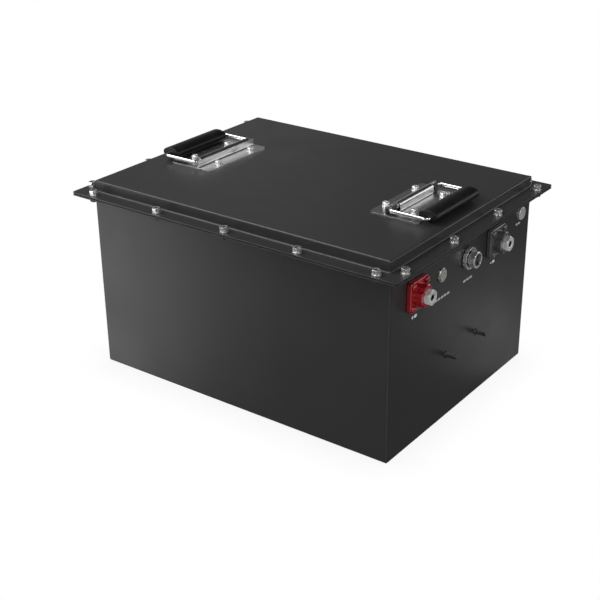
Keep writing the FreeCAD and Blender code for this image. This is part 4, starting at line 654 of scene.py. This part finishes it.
def bracket_studs(materials):
    """Both studs of the bracket, in place of their plain CAD cylinders."""
    low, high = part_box("bracket_studs")
    collar_r = (high.z - low.z) / 2.0
    z = (low.z + high.z) / 2.0
    mesh = bmesh.new()
    for y in (low.y + collar_r, high.y - collar_r):
        threaded_stud(mesh, y, z, low.x, high.x, collar_r)
    bmesh.ops.remove_doubles(mesh, verts=mesh.verts, dist=WELD_DISTANCE)
    bmesh.ops.recalc_face_normals(mesh, faces=mesh.faces)
    piece = new_piece("threaded_bracket_studs", mesh, materials["stud_black"], "root")
    smooth_shaded(piece, STUD_SHARP)
    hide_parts("bracket_studs")


# ---------------------------------------------------------------- studio

def floor():
    """Pale sheet with faint contact shading, there for the camera only."""
    mesh = bmesh.new()
    bmesh.ops.create_grid(mesh, x_segments=1, y_segments=1, size=FLOOR_HALF)
    data = bpy.data.meshes.new("studio_floor")
    mesh.to_mesh(data)
    mesh.free()
    plane = bpy.data.objects.new("studio_floor", data)
    bpy.context.scene.collection.objects.link(plane)
    plane.visible_diffuse = False
    plane.visible_glossy = False
    plane.visible_transmission = False
    plane.visible_shadow = False

    s = Shader("pale_floor")
    contact = s.openness(CONTACT_REACH)
    glow = s.add("ShaderNodeEmission")
    s.join(s.remap(contact, CONTACT_FULL, 1.0, FLOOR_PALE * CONTACT_SHADE, FLOOR_PALE),
           glow.inputs["Strength"])
    s.join(glow.outputs["Emission"], s.output.inputs["Surface"])
    data.materials.append(s.material)


def backdrop():
    """Pale all round to the camera; ground, horizon and sky of their own brightness to everything else."""
    world = bpy.data.worlds.new("studio")
    bpy.context.scene.world = world
    world.use_nodes = True
    sky = Graph(world.node_tree)
    split = sky.add("ShaderNodeSeparateXYZ")
    sky.join(sky.add("ShaderNodeTexCoord").outputs["Generated"], split.inputs["Vector"])
    height = split.outputs["Z"]
    upper = sky.remap(height, SKY_FROM, SKY_FULL, AMBIENT_HORIZON, AMBIENT_SKY)
    strength = sky.remap(height, -GROUND_EDGE, GROUND_EDGE, AMBIENT_GROUND, upper)

    seen = sky.add("ShaderNodeBackground")
    sky.join(FLOOR_PALE, seen.inputs["Strength"])
    unseen = sky.add("ShaderNodeBackground")
    sky.join(strength, unseen.inputs["Strength"])
    switch = sky.add("ShaderNodeMixShader")
    sky.join(sky.add("ShaderNodeLightPath").outputs["Is Camera Ray"], switch.inputs[0])
    sky.join(unseen.outputs["Background"], switch.inputs[1])
    sky.join(seen.outputs["Background"], switch.inputs[2])
    output = sky.add("ShaderNodeOutputWorld")
    sky.join(switch.outputs["Shader"], output.inputs["Surface"])


def softboxes():
    """Rectangular lamps that the camera can't see."""
    for name, (place, faces, width, height, watts) in SOFTBOXES.items():
        light = bpy.data.lights.new(name, "AREA")
        light.shape = "RECTANGLE"
        light.size = width
        light.size_y = height
        light.energy = watts
        lamp = bpy.data.objects.new(name, light)
        bpy.context.scene.collection.objects.link(lamp)
        lamp.location = place
        aim = Vector(faces) - Vector(place)
        lamp.rotation_euler = aim.to_track_quat("-Z", "Y").to_euler()
        lamp.visible_camera = False


def camera():
    """Camera on a sphere round its target, level with the horizon."""
    azimuth = math.radians(CAMERA_AZIMUTH)
    elevation = math.radians(CAMERA_ELEVATION)
    back = Vector((math.sin(azimuth) * math.cos(elevation), -math.cos(azimuth) * math.cos(elevation),
                   math.sin(elevation)))
    data = bpy.data.cameras.new("camera")
    data.lens = CAMERA_LENS
    data.shift_x, data.shift_y = CAMERA_SHIFT
    eye = bpy.data.objects.new("camera", data)
    eye.location = Vector(CAMERA_TARGET) + back * CAMERA_DISTANCE
    eye.rotation_euler = (-back).to_track_quat("-Z", "Y").to_euler()
    bpy.context.scene.collection.objects.link(eye)
    bpy.context.scene.camera = eye


# ---------------------------------------------------------------- put it together

materials = slot_materials()
dress_nodes(materials)
printed_marks()
button_symbol()
bracket_studs(materials)
floor()
backdrop()
softboxes()
camera()
bpy.context.scene.view_settings.view_transform = "Standard"
